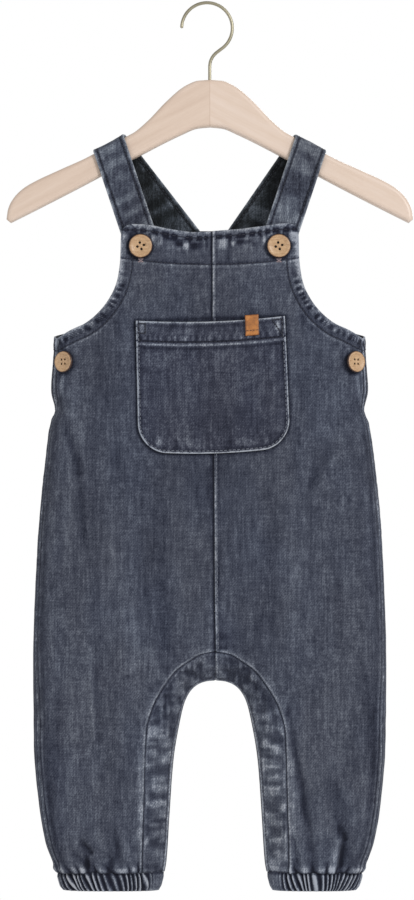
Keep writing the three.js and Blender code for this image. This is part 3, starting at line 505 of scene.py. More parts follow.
def panelRelief(side, face, girth, drop):
    girth, drop = np.broadcast_arrays(np.asarray(girth, float), np.asarray(drop, float))
    r, at = relief, panelPlaces(side, face, girth, drop)
    seed = r["seed"][face] + (r["rightSeed"] if side > 0 else 0)
    x, fromArm, alongArm, fromSide = at["x"], at["arm"], at["alongArm"], at["side"]
    openSide = (drop < levels["placketEnd"]) & (drop > levels["armholeEnd"])
    above = drop < levels["bandTop"] + 1
    nap = napOf(x, drop, 1.6, seed + 16, 0.5)

    # puckers: by the armholes, in rows under the top edge, and along each seam
    arm = puckers(fromArm, alongArm, 1.2, r["armholeFacing"] - 1.6, 4.8, seed, 3)
    armOutside = puckers(fromArm, alongArm, r["armholeFacing"], 17, 7, seed + 1)
    facingRow = puckers(at["top"], x, at["facingDepth"] - 1, at["facingDepth"] + 13, 8, seed + 5)
    band = puckers(at["band"], at["alongBand"], 0.3, 9, 8, seed + 6)
    centre = puckers(at["centre"], drop, 0.4, 7, 9, seed + 7) * above
    sideRow = puckers(fromSide, drop, -1, 8, 8, seed + 8) * smooth(244, 252, drop)
    rowsRaised, rowsWorn = bibRows(at, seed)
    puffsRaised, puffsLightAndShade = cuffPuffs(side, at, drop)
    fine = 1.1 * arm + 0.5 * armOutside + rowsRaised + 0.35 * facingRow
    fine = fine + 0.4 * band + 0.35 * centre + 0.6 * sideRow
    notch = ridge(drop - levels["placketEnd"], 7) * ridge(np.maximum(fromSide, 0), 12)
    doubled = np.maximum(1 - smooth(r["armholeFacing"] - 0.4, r["armholeFacing"] + 1, fromArm),
                         1 - smooth(-0.4, 1.2, at["facing"]))
    small = foldSink(face, x, drop, smallFolds) * smooth(r["foldsFrom"], r["foldsFull"], fromArm)
    height = r["facingRaise"] * doubled + r["puckerDepth"] * fine + washing(x, drop, seed + 10)
    height = height + puffsRaised - 0.8 * notch + 0.3 * ridge(at["band"], 1.1) - small
    height = height + lineSum(centreLines[side]["raised"], at) * above

    # pale on ridges and folded edges where the cloth is rubbed; painted shade, dark in creases and beside
    # what lies on top
    low = smooth(196, 214, drop)
    armBeat = alongArm / 4.6 + 0.75 * wander(alongArm, 6, seed + 18)
    armDashes = np.tanh(2.6 * (np.sin(2 * math.pi * armBeat) - 0.15)) * within(fromArm, 1.6, 2.6, 5.4, 7)
    paleness = (0.7 * arm + 1.1 * armDashes + 0.35 * armOutside) * (0.15 + 0.85 * low)
    paleness += 0.45 * (1 - smooth(2.5, 6.5, fromArm)) * (1 - low)
    paleness += 0.55 * ridge(fromArm - r["armholeFacing"] - 1.4, 0.9) * smooth(214, 232, drop) * nap
    paleness += np.where(openSide, 0.5 * (1 - smooth(1.5, 4.5, fromSide)), 0)
    paleness -= 0.15 * (fromArm < r["armholeFacing"]) + 0.06 * (1 - smooth(240, 300, drop))
    paleness += rowsWorn + puffsLightAndShade + 0.22 * facingRow + 0.3 * band + 0.3 * centre + 0.25 * sideRow
    paleness += lineSum(panelLines, at, nap) + lineSum(centreLines[side]["paleness"], at, nap) * above
    paleness += 0.12 * softNoise(x, drop, 26, 60, seed + 13) + 0.12 * softNoise(x, drop, 5, 48, seed + 14)
    # painted shade in the folds' troughs, and a painted highlight along the small folds listed with a
    # negative depth
    paleness -= 0.85 * small + 0.15 * foldSink(face, x, drop, mainFolds)
    paleness += patchTones(face, x, drop)
    if side > 0:  # the seam's allowance is pressed to this side
        edge = r["allowance"]
        height = height + 0.25 * (1 - smooth(edge - 0.8, edge + 0.6, at["centre"])) * above
        bibPart = within(at["top"], 5, 8, at["facingDepth"] - 4, at["facingDepth"])
        paleness += bibPart * (0.4 * ridge(at["centre"] - 6, 3) - 0.8 * ridge(at["centre"] - 11.5, 1.8))
    if face == "front":
        paleness += besideParts(side, x, drop, nap)
    stitch = nearest(fromArm - r["armholeFacing"], at["top"] - r["topStitch"], at["facing"],
                     np.where(openSide, fromSide - r["sideStitch"], r["noStitch"]))
    return height, paleness, stitch


print("dungarees: form worked out")


# Meshes

def link(piece):
    bpy.context.collection.objects.link(piece)
    return piece


def dress(piece, node=None):  # every piece rides on the one body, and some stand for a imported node
    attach(piece, root)
    if node:
        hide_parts(node)
    return piece


def makeMesh(name, points, quads, materials, marks=None, slots=None):
    mesh = bpy.data.meshes.new(name)
    points, quads = np.asarray(points, float) * mm, np.asarray(quads, np.int32)
    mesh.vertices.add(len(points))
    mesh.vertices.foreach_set("co", points.ravel())
    sides = quads.shape[1]
    mesh.loops.add(quads.size)
    mesh.loops.foreach_set("vertex_index", quads.ravel())
    mesh.polygons.add(len(quads))
    mesh.polygons.foreach_set("loop_start", np.arange(0, quads.size, sides, dtype=np.int32))
    mesh.polygons.foreach_set("loop_total", np.full(len(quads), sides, np.int32))
    mesh.polygons.foreach_set("use_smooth", np.ones(len(quads), bool))
    if slots is not None:
        mesh.polygons.foreach_set("material_index", np.asarray(slots, np.int32))
    for label, values in (marks or {}).items():
        layer = mesh.attributes.new(label, "FLOAT", "POINT")
        layer.data.foreach_set("value", np.asarray(values, np.float32).ravel())
    mesh.update(calc_edges=True)
    mesh.validate()
    for material in materials:
        mesh.materials.append(material)
    return link(bpy.data.objects.new(name, mesh))


def gridQuads(rows, columns, first=0):
    r, c = np.meshgrid(np.arange(rows - 1), np.arange(columns - 1), indexing="ij")
    a = (first + r * columns + c).ravel()
    return np.stack([a, a + 1, a + columns + 1, a + columns], axis=1)


def ringQuads(rows, around):  # rows of points that each close on themselves
    r, k = np.meshgrid(np.arange(rows - 1), np.arange(around), indexing="ij")
    a, b = (r * around + k).ravel(), (r * around + (k + 1) % around).ravel()
    return np.stack([a, b, b + around, a + around], axis=1)


def faceOut(points, quads):  # turns every face round where they look inwards
    a, b, c, d = (points[quads[:, i]] for i in range(4))
    volume = (np.einsum("ij,ij->i", a, np.cross(b, c)) + np.einsum("ij,ij->i", a, np.cross(c, d))).sum() / 6
    return quads[:, ::-1] if volume < 0 else quads


# A closed piece of cloth from its outer and inner points; its marks are given for both
def makeCloth(name, outer, inner, marks, materials, innerSlot=1):
    rows, columns = outer.shape[:2]
    count = rows * columns
    points = np.concatenate([outer.reshape(-1, 3), inner.reshape(-1, 3)])
    face = gridQuads(rows, columns)
    lining = gridQuads(rows, columns, count)[:, ::-1]
    rim = list(range(columns - 1)) + [r * columns + columns - 1 for r in range(rows - 1)]
    rim += [(rows - 1) * columns + c for c in range(columns - 1, 0, -1)]
    rim = np.array(rim + [r * columns for r in range(rows - 1, 0, -1)])
    after = np.roll(rim, -1)
    border = np.stack([rim, rim + count, after + count, after], axis=1)
    quads = faceOut(points, np.concatenate([face, lining, border]))
    slots = np.concatenate([np.zeros(len(face)), np.full(len(lining), innerSlot), np.zeros(len(border))])
    both = {label: np.concatenate([v.ravel(), w.ravel()]) for label, (v, w) in marks.items()}
    return makeMesh(name, points, quads, materials, both, slots)


def spread(low, high, count, near=0.7):  # an even row of places, with the last ones just inside each end
    return np.concatenate([[low], np.linspace(low + near, high - near, count - 2), [high]])


def rounded(rows, columns, amount):  # how far the outermost ring of points is drawn in, for a soft edge
    ring = np.zeros((rows, columns))
    ring[0, :] = ring[-1, :] = ring[:, 0] = ring[:, -1] = amount
    return ring


def outsideMarks(paleness, stitch):  # wear, painted shade and stitches show on the right side only
    return {"paleness": (paleness, 0 * paleness), "stitch": (stitch, 0 * stitch + relief["noStitch"])}


def layCloth(name, side, face, girth, drop, looks, materials, lift=0, thickness=denimThickness, soften=0.35):
    base = clothPoint(side, face, girth, drop)
    normal = clothNormal(side, face, girth, drop)
    height, paleness, stitch = looks
    pinch = rounded(*girth.shape, soften * thickness)[..., None]
    outer = base + normal * (lift + height[..., None] - pinch)
    inner = base + normal * (lift - thickness + 0.6 * height[..., None] + pinch)
    return makeCloth(name, outer, inner, outsideMarks(paleness, stitch), materials)


# Stitches: short rounded lengths of thread along a line of points on the cloth

stitchShape = {
    "length": 2.5, "pitch": 3.2, "radius": 0.27, "sides": 6, "sink": 0.02, "step": 0.4,
    "stations": [-0.5, -0.4, 0, 0.4, 0.5],
    "swell": [0.25, 0.85, 1, 0.85, 0.25], "rise": [-0.5, 0.25, 0.75, 0.25, -0.5],
}


def stitchRow(points, normals, shape=stitchShape):
    points, normals = np.asarray(points, float), np.asarray(normals, float)
    walk = np.concatenate([[0], np.cumsum(np.linalg.norm(np.diff(points, axis=0), axis=1))])
    count = int(walk[-1] // shape["pitch"])
    if count < 1:
        return np.zeros((0, 3)), np.zeros((0, 4), int)
    at = (np.arange(count) + 0.5) * walk[-1] / count

    def along(values, where):
        return np.stack([np.interp(where, walk, values[:, k]) for k in range(3)], axis=1)

    centre, up = along(points, at), unit(along(normals, at))
    forward = unit(along(points, at + shape["step"]) - along(points, at - shape["step"]))
    sideways = np.cross(up, forward)
    stations = np.array(shape["stations"]) * shape["length"]
    swell = np.array(shape["swell"]) * shape["radius"]
    rise = np.array(shape["rise"]) * shape["radius"] - shape["sink"]
    k, n = len(stations), shape["sides"]
    around = np.arange(n) * 2 * math.pi / n
    ring = (stations[:, None, None, None] * forward[None, None]
            + (swell[:, None] * np.cos(around))[:, :, None, None] * sideways[None, None]
            + (rise[:, None] + swell[:, None] * np.sin(around))[:, :, None, None] * up[None, None])
    vertices = (centre[None, None] + ring).transpose(2, 0, 1, 3).reshape(-1, 3)
    ends = [[end * n + j for j in corners] for end in (0, k - 1) for corners in ((0, 1, 2, 3), (0, 3, 4, 5))]
    quads = np.concatenate([ringQuads(k, n), np.array(ends)])
    shift = (np.arange(count) * k * n)[:, None, None]
    return vertices, (quads[None] + shift).reshape(-1, 4)


class ThreadBox:  # gathers rows of stitches until they become one piece
    def __init__(self):
        self.points, self.quads, self.count = [], [], 0

    def add(self, points, normals, **changes):
        vertices, quads = stitchRow(points, normals, {**stitchShape, **changes})
        self.points.append(vertices)
        self.quads.append(quads + self.count)
        self.count += len(vertices)

    def piece(self, name, material):
        piece = makeMesh(name, np.concatenate(self.points), np.concatenate(self.quads), [material])
        return dress(piece)


# Materials

def colourOf(colour, bright=1.0):  # screen colour, 0 to 255, as light
    parts = [part / 255 for part in colour]
    light = [c / 12.92 if c <= 0.04045 else ((c + 0.055) / 1.055) ** 2.4 for c in parts]
    return tuple(min(1, c * bright) for c in light)


class Paint:  # one material's nodes, and the sums between them
    def __init__(self, name):
        self.material = bpy.data.materials.new(name)
        self.material.use_nodes = True
        self.nodes, self.links = self.material.node_tree.nodes, self.material.node_tree.links
        self.shader = self.nodes["Principled BSDF"]

    def put(self, node, label, value):
        if isinstance(value, bpy.types.NodeSocket):
            self.links.new(value, node.inputs[label])
        else:
            node.inputs[label].default_value = value

    def node(self, kind, output, inputs, **settings):
        node = self.nodes.new("ShaderNode" + kind)
        for label, value in settings.items():
            setattr(node, label, value)
        for label, value in inputs.items():
            self.put(node, label, value)
        return node.outputs[output]

    def math(self, operation, *values):
        return self.node("Math", 0, dict(enumerate(values)), operation=operation)

    def times(self, value, amount):
        return self.math("MULTIPLY", value, amount)

    def less(self, value, other):
        return self.math("SUBTRACT", value, other)

    def total(self, first, *others):
        for other in others:
            first = self.math("ADD", first, other)
        return first

    def swing(self, value, amount):  # a noise's value, about zero
        return self.times(self.less(value, 0.5), amount)

    def place(self, stretch=(1, 1, 1), turn=(0, 0, 0), vector=None, kind="POINT"):
        vector = vector or self.node("TexCoord", "Object", {})
        inputs = {"Vector": vector, "Scale": stretch, "Rotation": turn}
        return self.node("Mapping", "Vector", inputs, vector_type=kind)

    def noise(self, vector, size=1, detail=2, roughness=0.5):
        inputs = {"Vector": vector, "Scale": size, "Detail": detail, "Roughness": roughness}
        return self.node("TexNoise", "Fac", inputs)

    def wave(self, vector, size, distortion):
        return self.node("TexWave", "Fac", {"Vector": vector, "Scale": size, "Distortion": distortion})

    def mark(self, label):  # a value that the mesh carries
        return self.node("Attribute", "Fac", {}, attribute_name=label)

    def ramp(self, value, places, colours):
        colour = self.node("ValToRGB", "Color", {"Fac": value})
        stops = colour.node.color_ramp.elements
        stops[0].position, stops[-1].position = places[0], places[-1]
        for place in places[1:-1]:
            stops.new(place)
        for stop, place, shade in zip(stops, places, colours):
            stop.position, stop.color = place, (*shade, 1)
        return colour

    def toned(self, value, look):  # a ramp of screen colours
        return self.ramp(value, look["places"], [colourOf(shade) for shade in look["tones"]])

    def bump(self, height, strength, distance):
        inputs = {"Height": height, "Strength": strength, "Distance": distance}
        self.put(self.shader, "Normal", self.node("Bump", "Normal", inputs))

    def finish(self, colour, surface):
        self.put(self.shader, "Base Color", colour)
        for label, value in surface.items():
            self.put(self.shader, label, value)
        return self.material


# Washed denim: uneven warp and weft yarns, blotches from the wash, pale where the mark says the cloth is
# rubbed, darker where the mark carries painted shade. Each noise has its stretch, size, detail, roughness and
# amount, and 1 where it turns with the cut.
denimLook = {
    "warp": ((820, 820, 48), 1, 3, 0.6, 0.54, 1), "weft": ((70, 70, 700), 1, 3, 0.6, 0.3, 1),
    "grain": ((1, 1, 1), 900, 1, 0.5, 0.56, 0), "blotch": ((1, 1, 0.55), 30, 5, 0.62, 0.1, 0),
    "mottle": ((230, 230, 120), 1, 2, 0.55, 0.38, 1), "slub": ((150, 150, 8), 1, 2, 0.5, 0.2, 1),
    "twillSize": 1300 / 6.283, "twillTurn": math.radians(-38), "twillWander": 0.6, "twill": 0.08,
    "paleness": 0.32, "thread": 0.42, "threadWidth": 0.85, "yarnHeight": 1.4, "twillHeight": 0.5,
    "threadDepth": 0.8,
    "bump": (0.3, 0.0003), "places": (0.0, 0.25, 0.5, 0.75, 1.0), "tintStretch": (1, 1, 0.45), "tintSize": 26,
    "tintPlaces": (0.36, 0.64), "tints": ((1, 0.99, 0.955), (0.96, 0.985, 1)),
    "surface": {"Roughness": 0.95, "Sheen Weight": 0.05, "Sheen Roughness": 0.5, "Specular IOR Level": 0.25},
}


def denimMaterial(name, tone, lean=0.0):
    look, p = denimLook, Paint(name)

    def dyed(kind):
        stretch, size, detail, roughness, amount, turns = look[kind]
        return p.swing(p.noise(p.place(stretch, (0, lean * turns, 0)), size, detail, roughness), amount)

    twill = p.wave(p.place(turn=(0, look["twillTurn"] + lean, 0)), look["twillSize"], look["twillWander"])
    line = p.math("DIVIDE", p.math("ABSOLUTE", p.mark("stitch")), look["threadWidth"])
    line = p.math("MAXIMUM", p.less(1, line), 0)
    yarn = p.total(dyed("warp"), dyed("weft"), dyed("grain"))
    # this mark carries both the cloth's wear and painted shade from creases, folds and what lies on top
    tones = p.total(yarn, dyed("blotch"), dyed("mottle"), dyed("slub"), p.times(p.mark("paleness"), look["paleness"]),
                    p.swing(twill, look["twill"]))
    value = p.total(p.less(tones, p.times(line, look["thread"])), 0.5)
    colour = p.ramp(value, look["places"], [colourOf(shade) for shade in tone])
    tint = p.ramp(p.noise(p.place(look["tintStretch"]), look["tintSize"]), look["tintPlaces"], look["tints"])
    inputs = {"Factor": 1, "A": colour, "B": tint}
    dye = p.node("Mix", "Result", inputs, data_type="RGBA", blend_type="MULTIPLY")
    height = p.total(p.times(yarn, look["yarnHeight"]), p.swing(twill, look["twillHeight"]))
    p.bump(p.less(height, p.times(line, look["threadDepth"])), *look["bump"])
    return p.finish(dye, look["surface"])


denimTones = {
    "body": ((14, 17, 31), (34, 38, 52), (58, 62, 75), (89, 94, 106), (144, 148, 158)),
    "pocket": ((9, 12, 26), (26, 29, 43), (48, 51, 65), (82, 86, 98), (146, 151, 161)),
    "strap": ((12, 15, 25), (34, 37, 49), (60, 64, 76), (91, 96, 106), (142, 147, 156)),
    # the straps' underside: the strap denim greyer, as its reverse, and darker as painted shade
    "strapUnderShaded": ((9, 13, 16), (29, 33, 37), (54, 59, 66), (86, 91, 99), (138, 143, 150)),
    "reverse": ((10, 12, 19), (26, 28, 36), (50, 52, 60), (78, 81, 87), (118, 121, 127)),
}
strapCut = math.radians(18)
denim = denimMaterial("denim_body", denimTones["body"])
denimPocket = denimMaterial("denim_pocket", denimTones["pocket"])
denimBand = denimMaterial("denim_band", denimTones["body"])
denimReverse = denimMaterial("denim_reverse", denimTones["reverse"])
denimStrap = {side: denimMaterial(f"denim_strap_{name}", denimTones["strap"], side * strapCut)
              for side, name in sideNames.items()}
# a darker copy of the strap denim for the straps' underside, painted shade
denimUnderShaded = {side: denimMaterial(f"denim_under_shaded_{name}", denimTones["strapUnderShaded"], -side * strapCut)
              for side, name in sideNames.items()}

threadLook = {"size": 420, "wander": 1.5, "turn": (0.4, 0.7, 0.2), "dark": 0.6, "surface": {"Roughness": 0.7}}
threadTones = {
    "denim": (40, 43, 56), "paleness": (112, 117, 129), "ink": (24, 27, 42), "dark": (46, 38, 36),
    "tack": (150, 132, 136),
}


def threadMaterial(kind):
    look, p = threadLook, Paint(f"thread_{kind}")
    twist = p.wave(p.place(turn=look["turn"]), look["size"], look["wander"])
    shades = [colourOf(threadTones[kind], bright) for bright in (look["dark"], 1)]
    return p.finish(p.ramp(twist, (0.0, 1.0), shades), look["surface"])


threads = {kind: threadMaterial(kind) for kind in threadTones}

beechLook = {
    "slope": math.radians(28), "roughness": 0.6, "bump": (0.12, 0.0002),
    "rings": ((0.09, 0.007, 0.0042), 3, 0.75), "pores": ((0.006, 0.0006, 0.00045), 2, 0.25),
    "halfShade": 0.07, "joint": 0.00035, "jointDark": 0.35,
    "places": (0.12, 0.5, 0.85), "tones": ((187, 165, 148), (199, 179, 163), (209, 192, 180)),
    "surface": {"Roughness": 0.45, "Coat Weight": 0.15, "Coat Roughness": 0.35},
}


def woodMaterial(name, look):  # two halves joined in the middle, their grain along the slopes
    p = Paint(name)
    x, y, z = p.node("SeparateXYZ", "X", {"Vector": p.node("TexCoord", "Object", {})}).node.outputs
    half = p.math("SIGN", x)
    mirrored = p.node("CombineXYZ", 0, {"X": p.math("ABSOLUTE", x), "Y": p.total(y, half), "Z": z})

    def grained(kind):
        stretch, detail, amount = look[kind]
        vector = p.place(stretch, (0, look["slope"], 0), mirrored, "TEXTURE")
        return p.noise(vector, 1, detail, look["roughness"]), amount

    rings, pores = grained("rings"), grained("pores")
    # painted light: the right half paler than the left, standing for each arm turned a little differently to
    # the light
    tone = p.total(p.times(*rings), p.times(*pores), p.times(half, look["halfShade"]))
    joint = p.math("LESS_THAN", p.math("ABSOLUTE", x), look["joint"])
    tone = p.less(tone, p.times(joint, look["jointDark"]))
    p.bump(pores[0], *look["bump"])
    return p.finish(p.toned(tone, look), look["surface"])


brassLook = {
    "stretch": (90, 90, 90), "colour": (160, 154, 134), "places": (0.2, 0.8), "dark": 0.8, "light": 1.15,
    "uneven": 0.15, "roughness": 0.38,
}


def metalMaterial(name, look):
    p = Paint(name)
    drawn = p.noise(p.place(look["stretch"]))
    shades = [colourOf(look["colour"], look[kind]) for kind in ("dark", "light")]
    rough = p.total(p.times(drawn, look["uneven"]), look["roughness"])
    return p.finish(p.ramp(drawn, look["places"], shades), {"Roughness": rough, "Metallic": 1})


coconutLook = {
    "streaks": (260, 260, 1400), "lean": 0.5, "flecks": 900, "streak": 0.7, "fleck": 0.3, "rim": 0.45,
    "places": (0.0, 0.3, 0.5, 0.75), "bump": (0.2, 0.0001), "surface": {"Roughness": 0.42},
    "tones": ((48, 30, 22), (140, 105, 73), (170, 138, 104), (193, 164, 128)),
}


def coconutMaterial(name, look):
    p = Paint(name)
    streak = p.noise(p.place(look["streaks"], (0, look["lean"], 0)), 1, 4, 0.65)
    fleck = p.noise(p.place(), look["flecks"])
    tone = p.total(p.times(streak, look["streak"]), p.times(fleck, look["fleck"]))
    tone = p.less(tone, p.times(p.mark("rim"), look["rim"]))
    p.bump(fleck, *look["bump"])
    return p.finish(p.toned(tone, look), look["surface"])


leatherLook = {
    "blotches": 220, "grain": 1500, "rim": 0.3, "places": (0.2, 0.5, 0.75), "bump": (0.35, 0.00012),
    "tones": ((104, 60, 24), (160, 100, 42), (182, 124, 64)), "surface": {"Roughness": 0.55},
}


def leatherMaterial(name, look):
    p = Paint(name)
    place = p.place()
    grain = p.node("TexVoronoi", "Distance", {"Vector": place, "Scale": look["grain"]})
    tone = p.less(p.noise(place, look["blotches"], 4, 0.6), p.times(p.mark("rim"), look["rim"]))
    p.bump(grain, *look["bump"])
    return p.finish(p.toned(tone, look), look["surface"])


hangerWood = woodMaterial("beech", beechLook)
hookMetal = metalMaterial("pale_brass", brassLook)
coconut = coconutMaterial("coconut_shell", coconutLook)
tanLeather = leatherMaterial("tan_leather", leatherLook)
print("dungarees: materials ready")


# Fronts and backs

panelGrid = {
    "columns": 112, "bibStep": 1.0, "bodyStep": 2.1, "cuffStep": 1.15, "denseFrom": 612, "denseTo": 252,
    "topNear": 0.7, "lastNear": 0.5, "edgeNear": 0.006,
}
panelTop = {"front": levels["bibTop"], "back": levels["backTop"]}
sewing = {
    "fromMiddle": {-1: 0.6, 1: 2.5}, "toSide": {"front": 63.5, "back": 43.5}, "armholeFrom": 4,
    "centreStitch": 1.9,
}
threadOf = {"front": ThreadBox(), "back": ThreadBox()}
paleThreads = ThreadBox()


def panelRows(top):
    g, last = panelGrid, levels["cuffTop"] - halfGap
    upper = np.arange(top + g["topNear"], g["denseTo"], g["bibStep"])
    middle = np.arange(g["denseTo"], g["denseFrom"], g["bodyStep"])
    lower = np.arange(g["denseFrom"], last - 0.6, g["cuffStep"])
    return np.concatenate([[top], upper, middle, lower, [last - g["lastNear"], last]])


def raisedTop(side, face, girth, drop):  # the bib's top edge sags between its corners
    if face == "back":
        return drop
    fade = np.clip((levels["riseFades"] - drop) / (levels["riseFades"] - levels["bibTop"]), 0, 1)
    return drop - fade * bibRise[side](girth)


def panelOutside(face, drop):
    above = girthAt(frontEdge(drop), drop) if face == "front" else backEdge(drop)
    return np.where(drop < levels["armholeEnd"], above, seamGirth[face](drop) - halfGap)


def makePanel(side, face):
    drops = panelRows(panelTop[face])
    inside = side * centreX(drops) + seamShut + bandHalf(drops)
    outside = panelOutside(face, drops)
    share = spread(0, 1, panelGrid["columns"], panelGrid["edgeNear"])
    girth = inside[:, None] + (outside - inside)[:, None] * share
    drop = raisedTop(side, face, girth, np.repeat(drops[:, None], len(share), axis=1))
    looks = panelRelief(side, face, girth, drop)
    piece = layCloth(f"{face}_half_{sideNames[side]}", side, face, girth, drop, looks, [denim, denimReverse])
    dress(piece, f"{face}_{sideNames[side]}")


def sewPanel(side, face, girth, drop, box=None, **changes):
    girth, drop = np.asarray(girth, float), np.asarray(drop, float)
    height = panelRelief(side, face, girth, drop)[0]
    normal = clothNormal(side, face, girth, drop)
    points = clothPoint(side, face, girth, drop) + normal * height[..., None]
    (box or threadOf[face]).add(points, normal, **changes)


def offsetLine(line, distance):  # a line moved sideways, towards the cloth's inside
    line = np.asarray(line, float)
    run = unit(np.gradient(line, axis=0))
    return line + distance * np.stack([-run[:, 1], run[:, 0]], axis=1)


def sewPanelLines(side, face):
    r, s = relief, sewing
    inner = float(side * centreX(levels["bibTop"])) + s["fromMiddle"][side]
    across = np.linspace(inner, s["toSide"][face], 60)
    for below in (r["topStitch"], facingBelow(side, face, across)):
        sewPanel(side, face, across, topDrop(side, face, across) + below)
    line = offsetLine(armholeLines[face], r["armholeFacing"])
    keep = line[:, 1] > levels["bibTop"] + s["armholeFrom"]
    sewPanel(side, face, line[keep, 0], line[keep, 1])
    if side > 0:
        drops = np.linspace(levels["bibTop"] + 2, levels["bandTop"] - 1.6, 200)
        sewPanel(side, face, centreX(drops) + s["centreStitch"], drops, paleThreads)
    line = offsetLine(bandLine, -r["seamStitch"])
    sewPanel(side, face, line[2:, 0] + side * archX, line[2:, 1], paleThreads)
    drops = np.linspace(levels["armholeEnd"] + 3, levels["placketEnd"] - 2, 30)
    sewPanel(side, face, seamGirth[face](drops) - r["sideStitch"], drops)


for side, face in everyHalf:
    makePanel(side, face)
    sewPanelLines(side, face)
print("dungarees: fronts and backs laid")


# Inseam bands round the crotch and down the inner legs

bandShape = {
    "rows": 150, "columns": 30, "near": 0.03, "depth": 0.6, "edgeStitch": 2.2, "paler": {-1: 0.17, 1: 0.42},
    "seed": 60, "rightSeed": 3, "backSeed": 9, "lumps": 0.95, "atMiddle": {-1: -1.1, 1: 1.0},
    "raised": [("seam", 0, 1.2, -0.35, 0), ("edge", 0, 1.2, 0.2, 0)],
    # the dark line along the cuff is painted shade where the band meets it
    "paleness": [("edge", 0, 1.3, 1.4, 1), ("edge", 2.1, 0.5, -0.35, 0), ("seam", 0, 0.75, -0.75, 0),
             ("seam", 2, 0.8, 0.35, 1), ("cuff", 0, 1, -0.7, 0)],
}


def bandRelief(side, face, x, out, drop, at):
    g = bandShape
    seed = g["seed"] + (g["rightSeed"] if side > 0 else 0) + (g["backSeed"] if face == "back" else 0)
    along, fromEdge, fromSeam = at["along"], at["edge"], at["seam"]
    dashes = 0.8 * softNoise(x, drop, 7, 2.5, seed) + 0.8 * softNoise(x, drop, 8, 4.6, seed + 1)
    streaks = softNoise(x, drop, 2.2, 8, seed + 8) + 0.4 * softNoise(x, drop, 1.3, 3, seed + 9)
    atArch = 1 - smooth(515, 545, drop)
    lumps = np.tanh(1.5 * (dashes * (1 - 0.3 * atArch) + streaks * (0.3 + 0.6 * atArch)) - 0.1)
    lumps = lumps * (0.8 + 0.2 * wander(along, 20, seed + 5))
    lumps = lumps * smooth(0.2, 2.6, fromSeam) * smooth(1.2, 3.4, fromEdge)
    nap = napOf(along, fromEdge, 1.5, seed + 6, 0.5)
    paleness = g["lumps"] * lumps + lineSum(g["paleness"], at, nap) + g["paler"][side] * smooth(500, 560, drop)
    paleness = paleness + 0.15 * softNoise(along, fromEdge, 30, 30, seed + 7)
    paleness = paleness + g["atMiddle"][side] * ridge(out - 0.6, 0.8) * (drop < levels["crotch"]) * nap
    stitch = fromEdge - g["edgeStitch"] + (relief["noStitch"] if face == "front" else 0)
    return g["depth"] * lumps + lineSum(g["raised"], at), paleness + patchTones(face, x, drop), stitch


def makeBand(side, face):
    g, inset = bandShape, arch["inset"][face]
    share = np.linspace(0, 1, g["rows"]) ** 2
    bottom = levels["cuffTop"] - halfGap
    edgeDrop = levels["crotch"] + (bottom - levels["crotch"]) * share
    seamDrop = levels["bandTop"] + (bottom - levels["bandTop"]) * share
    edge = archHalf(edgeDrop) + inset
    seam = bandHalf(seamDrop) + seamShut
    edge[0], seam[0] = seamShut, seamShut
    edgeDrop[0] -= inset
    across = spread(0, 1, g["columns"], g["near"])
    out = edge[:, None] + (seam - edge)[:, None] * across
    drop = edgeDrop[:, None] + (seamDrop - edgeDrop)[:, None] * across
    girth = side * centreX(drop) + out
    width = np.hypot(seam - edge, seamDrop - edgeDrop)[:, None]
    paces = np.hypot(np.diff(edge + seam) / 2, np.diff(edgeDrop + seamDrop) / 2)
    walk = np.concatenate([[0], np.cumsum(paces)])[:, None]
    fromEdge = across[None, :] * width
    at = {"edge": fromEdge, "seam": width - fromEdge, "along": walk + 0 * fromEdge}
    at["cuff"] = levels["cuffTop"] - drop
    looks, name = bandRelief(side, face, side * girth, out, drop, at), sideNames[side]
    piece = layCloth(f"inseam_{face}_{name}", side, face, girth, drop, looks, [denimBand, denimReverse])
    dress(piece, f"inseam_band_{face}_{name}")
    flat = (mm * float(width.max()), mm * float(walk[-1, 0]))
    area = float(((width[1:] + width[:-1]) / 2 * np.diff(walk, axis=0)).sum()) * mm * mm
    area = min(area, flat[0] * flat[1])
    column = int(np.argmin(np.abs(across * width.mean() - g["edgeStitch"])))
    line = (side, face, girth[:, column], drop[:, column])
    normal = clothNormal(*line)
    threadOf[face].add((clothPoint(*line) + normal * looks[0][:, column, None])[1:], normal[1:])


for side, face in everyHalf:
    makeBand(side, face)


# Button stands under the side openings

standShape = {
    "top": 250, "underBack": 4, "reach": 24, "thickness": 1.2, "gap": 0.7, "rows": 40, "columns": 26,
    "stitch": 3, "paleEdge": 0.8, "paleWidth": 1.5, "darker": -0.2, "flat": (28, 49.5),
}


def makeStand(side):
    s = standShape
    drops = spread(s["top"], levels["placketEnd"], s["rows"], 0.6)
    share = spread(0, 1, s["columns"], 0.03)
    girth = frontSeamGirth(drops)[:, None] + s["underBack"] - (s["underBack"] + s["reach"]) * share
    drop = np.repeat(drops[:, None], len(share), axis=1)
    fromEdge = girth - girth.min(axis=1, keepdims=True)
    # the stand is painted darker overall, painted shade for lying under the front
    looks = (0 * girth, s["paleEdge"] * ridge(fromEdge, s["paleWidth"]) + s["darker"], fromEdge - s["stitch"])
    piece = layCloth(f"stand_{sideNames[side]}", side, "front", girth, drop, looks, [denimBand, denimReverse],
                     lift=-denimThickness - s["gap"], thickness=s["thickness"])
    dress(piece, f"side_stand_{sideNames[side]}")


for side in (-1, 1):
    makeStand(side)
print("dungarees: inseam bands and side stands laid")


# Cuffs: a gathered tube over elastic

cuffShape = {
    "around": 720, "rows": 22, "wall": 1.65, "ridge": 2.3, "swell": [-0.5, 0.25, 0.3, 0.2, -0.9],
    "tuckedUp": [-4, -2.4, -0.9], "tuckedIn": [-3.6, -3.4, -2.4],  # the edge sewn inside the leg
    "paler": {-1: 0.12, 1: 0.3}, "gatherLightAndShade": 5.0, "gatherMiddle": 0.46, "flatWear": 0.2, "flat": (215, 14),
}


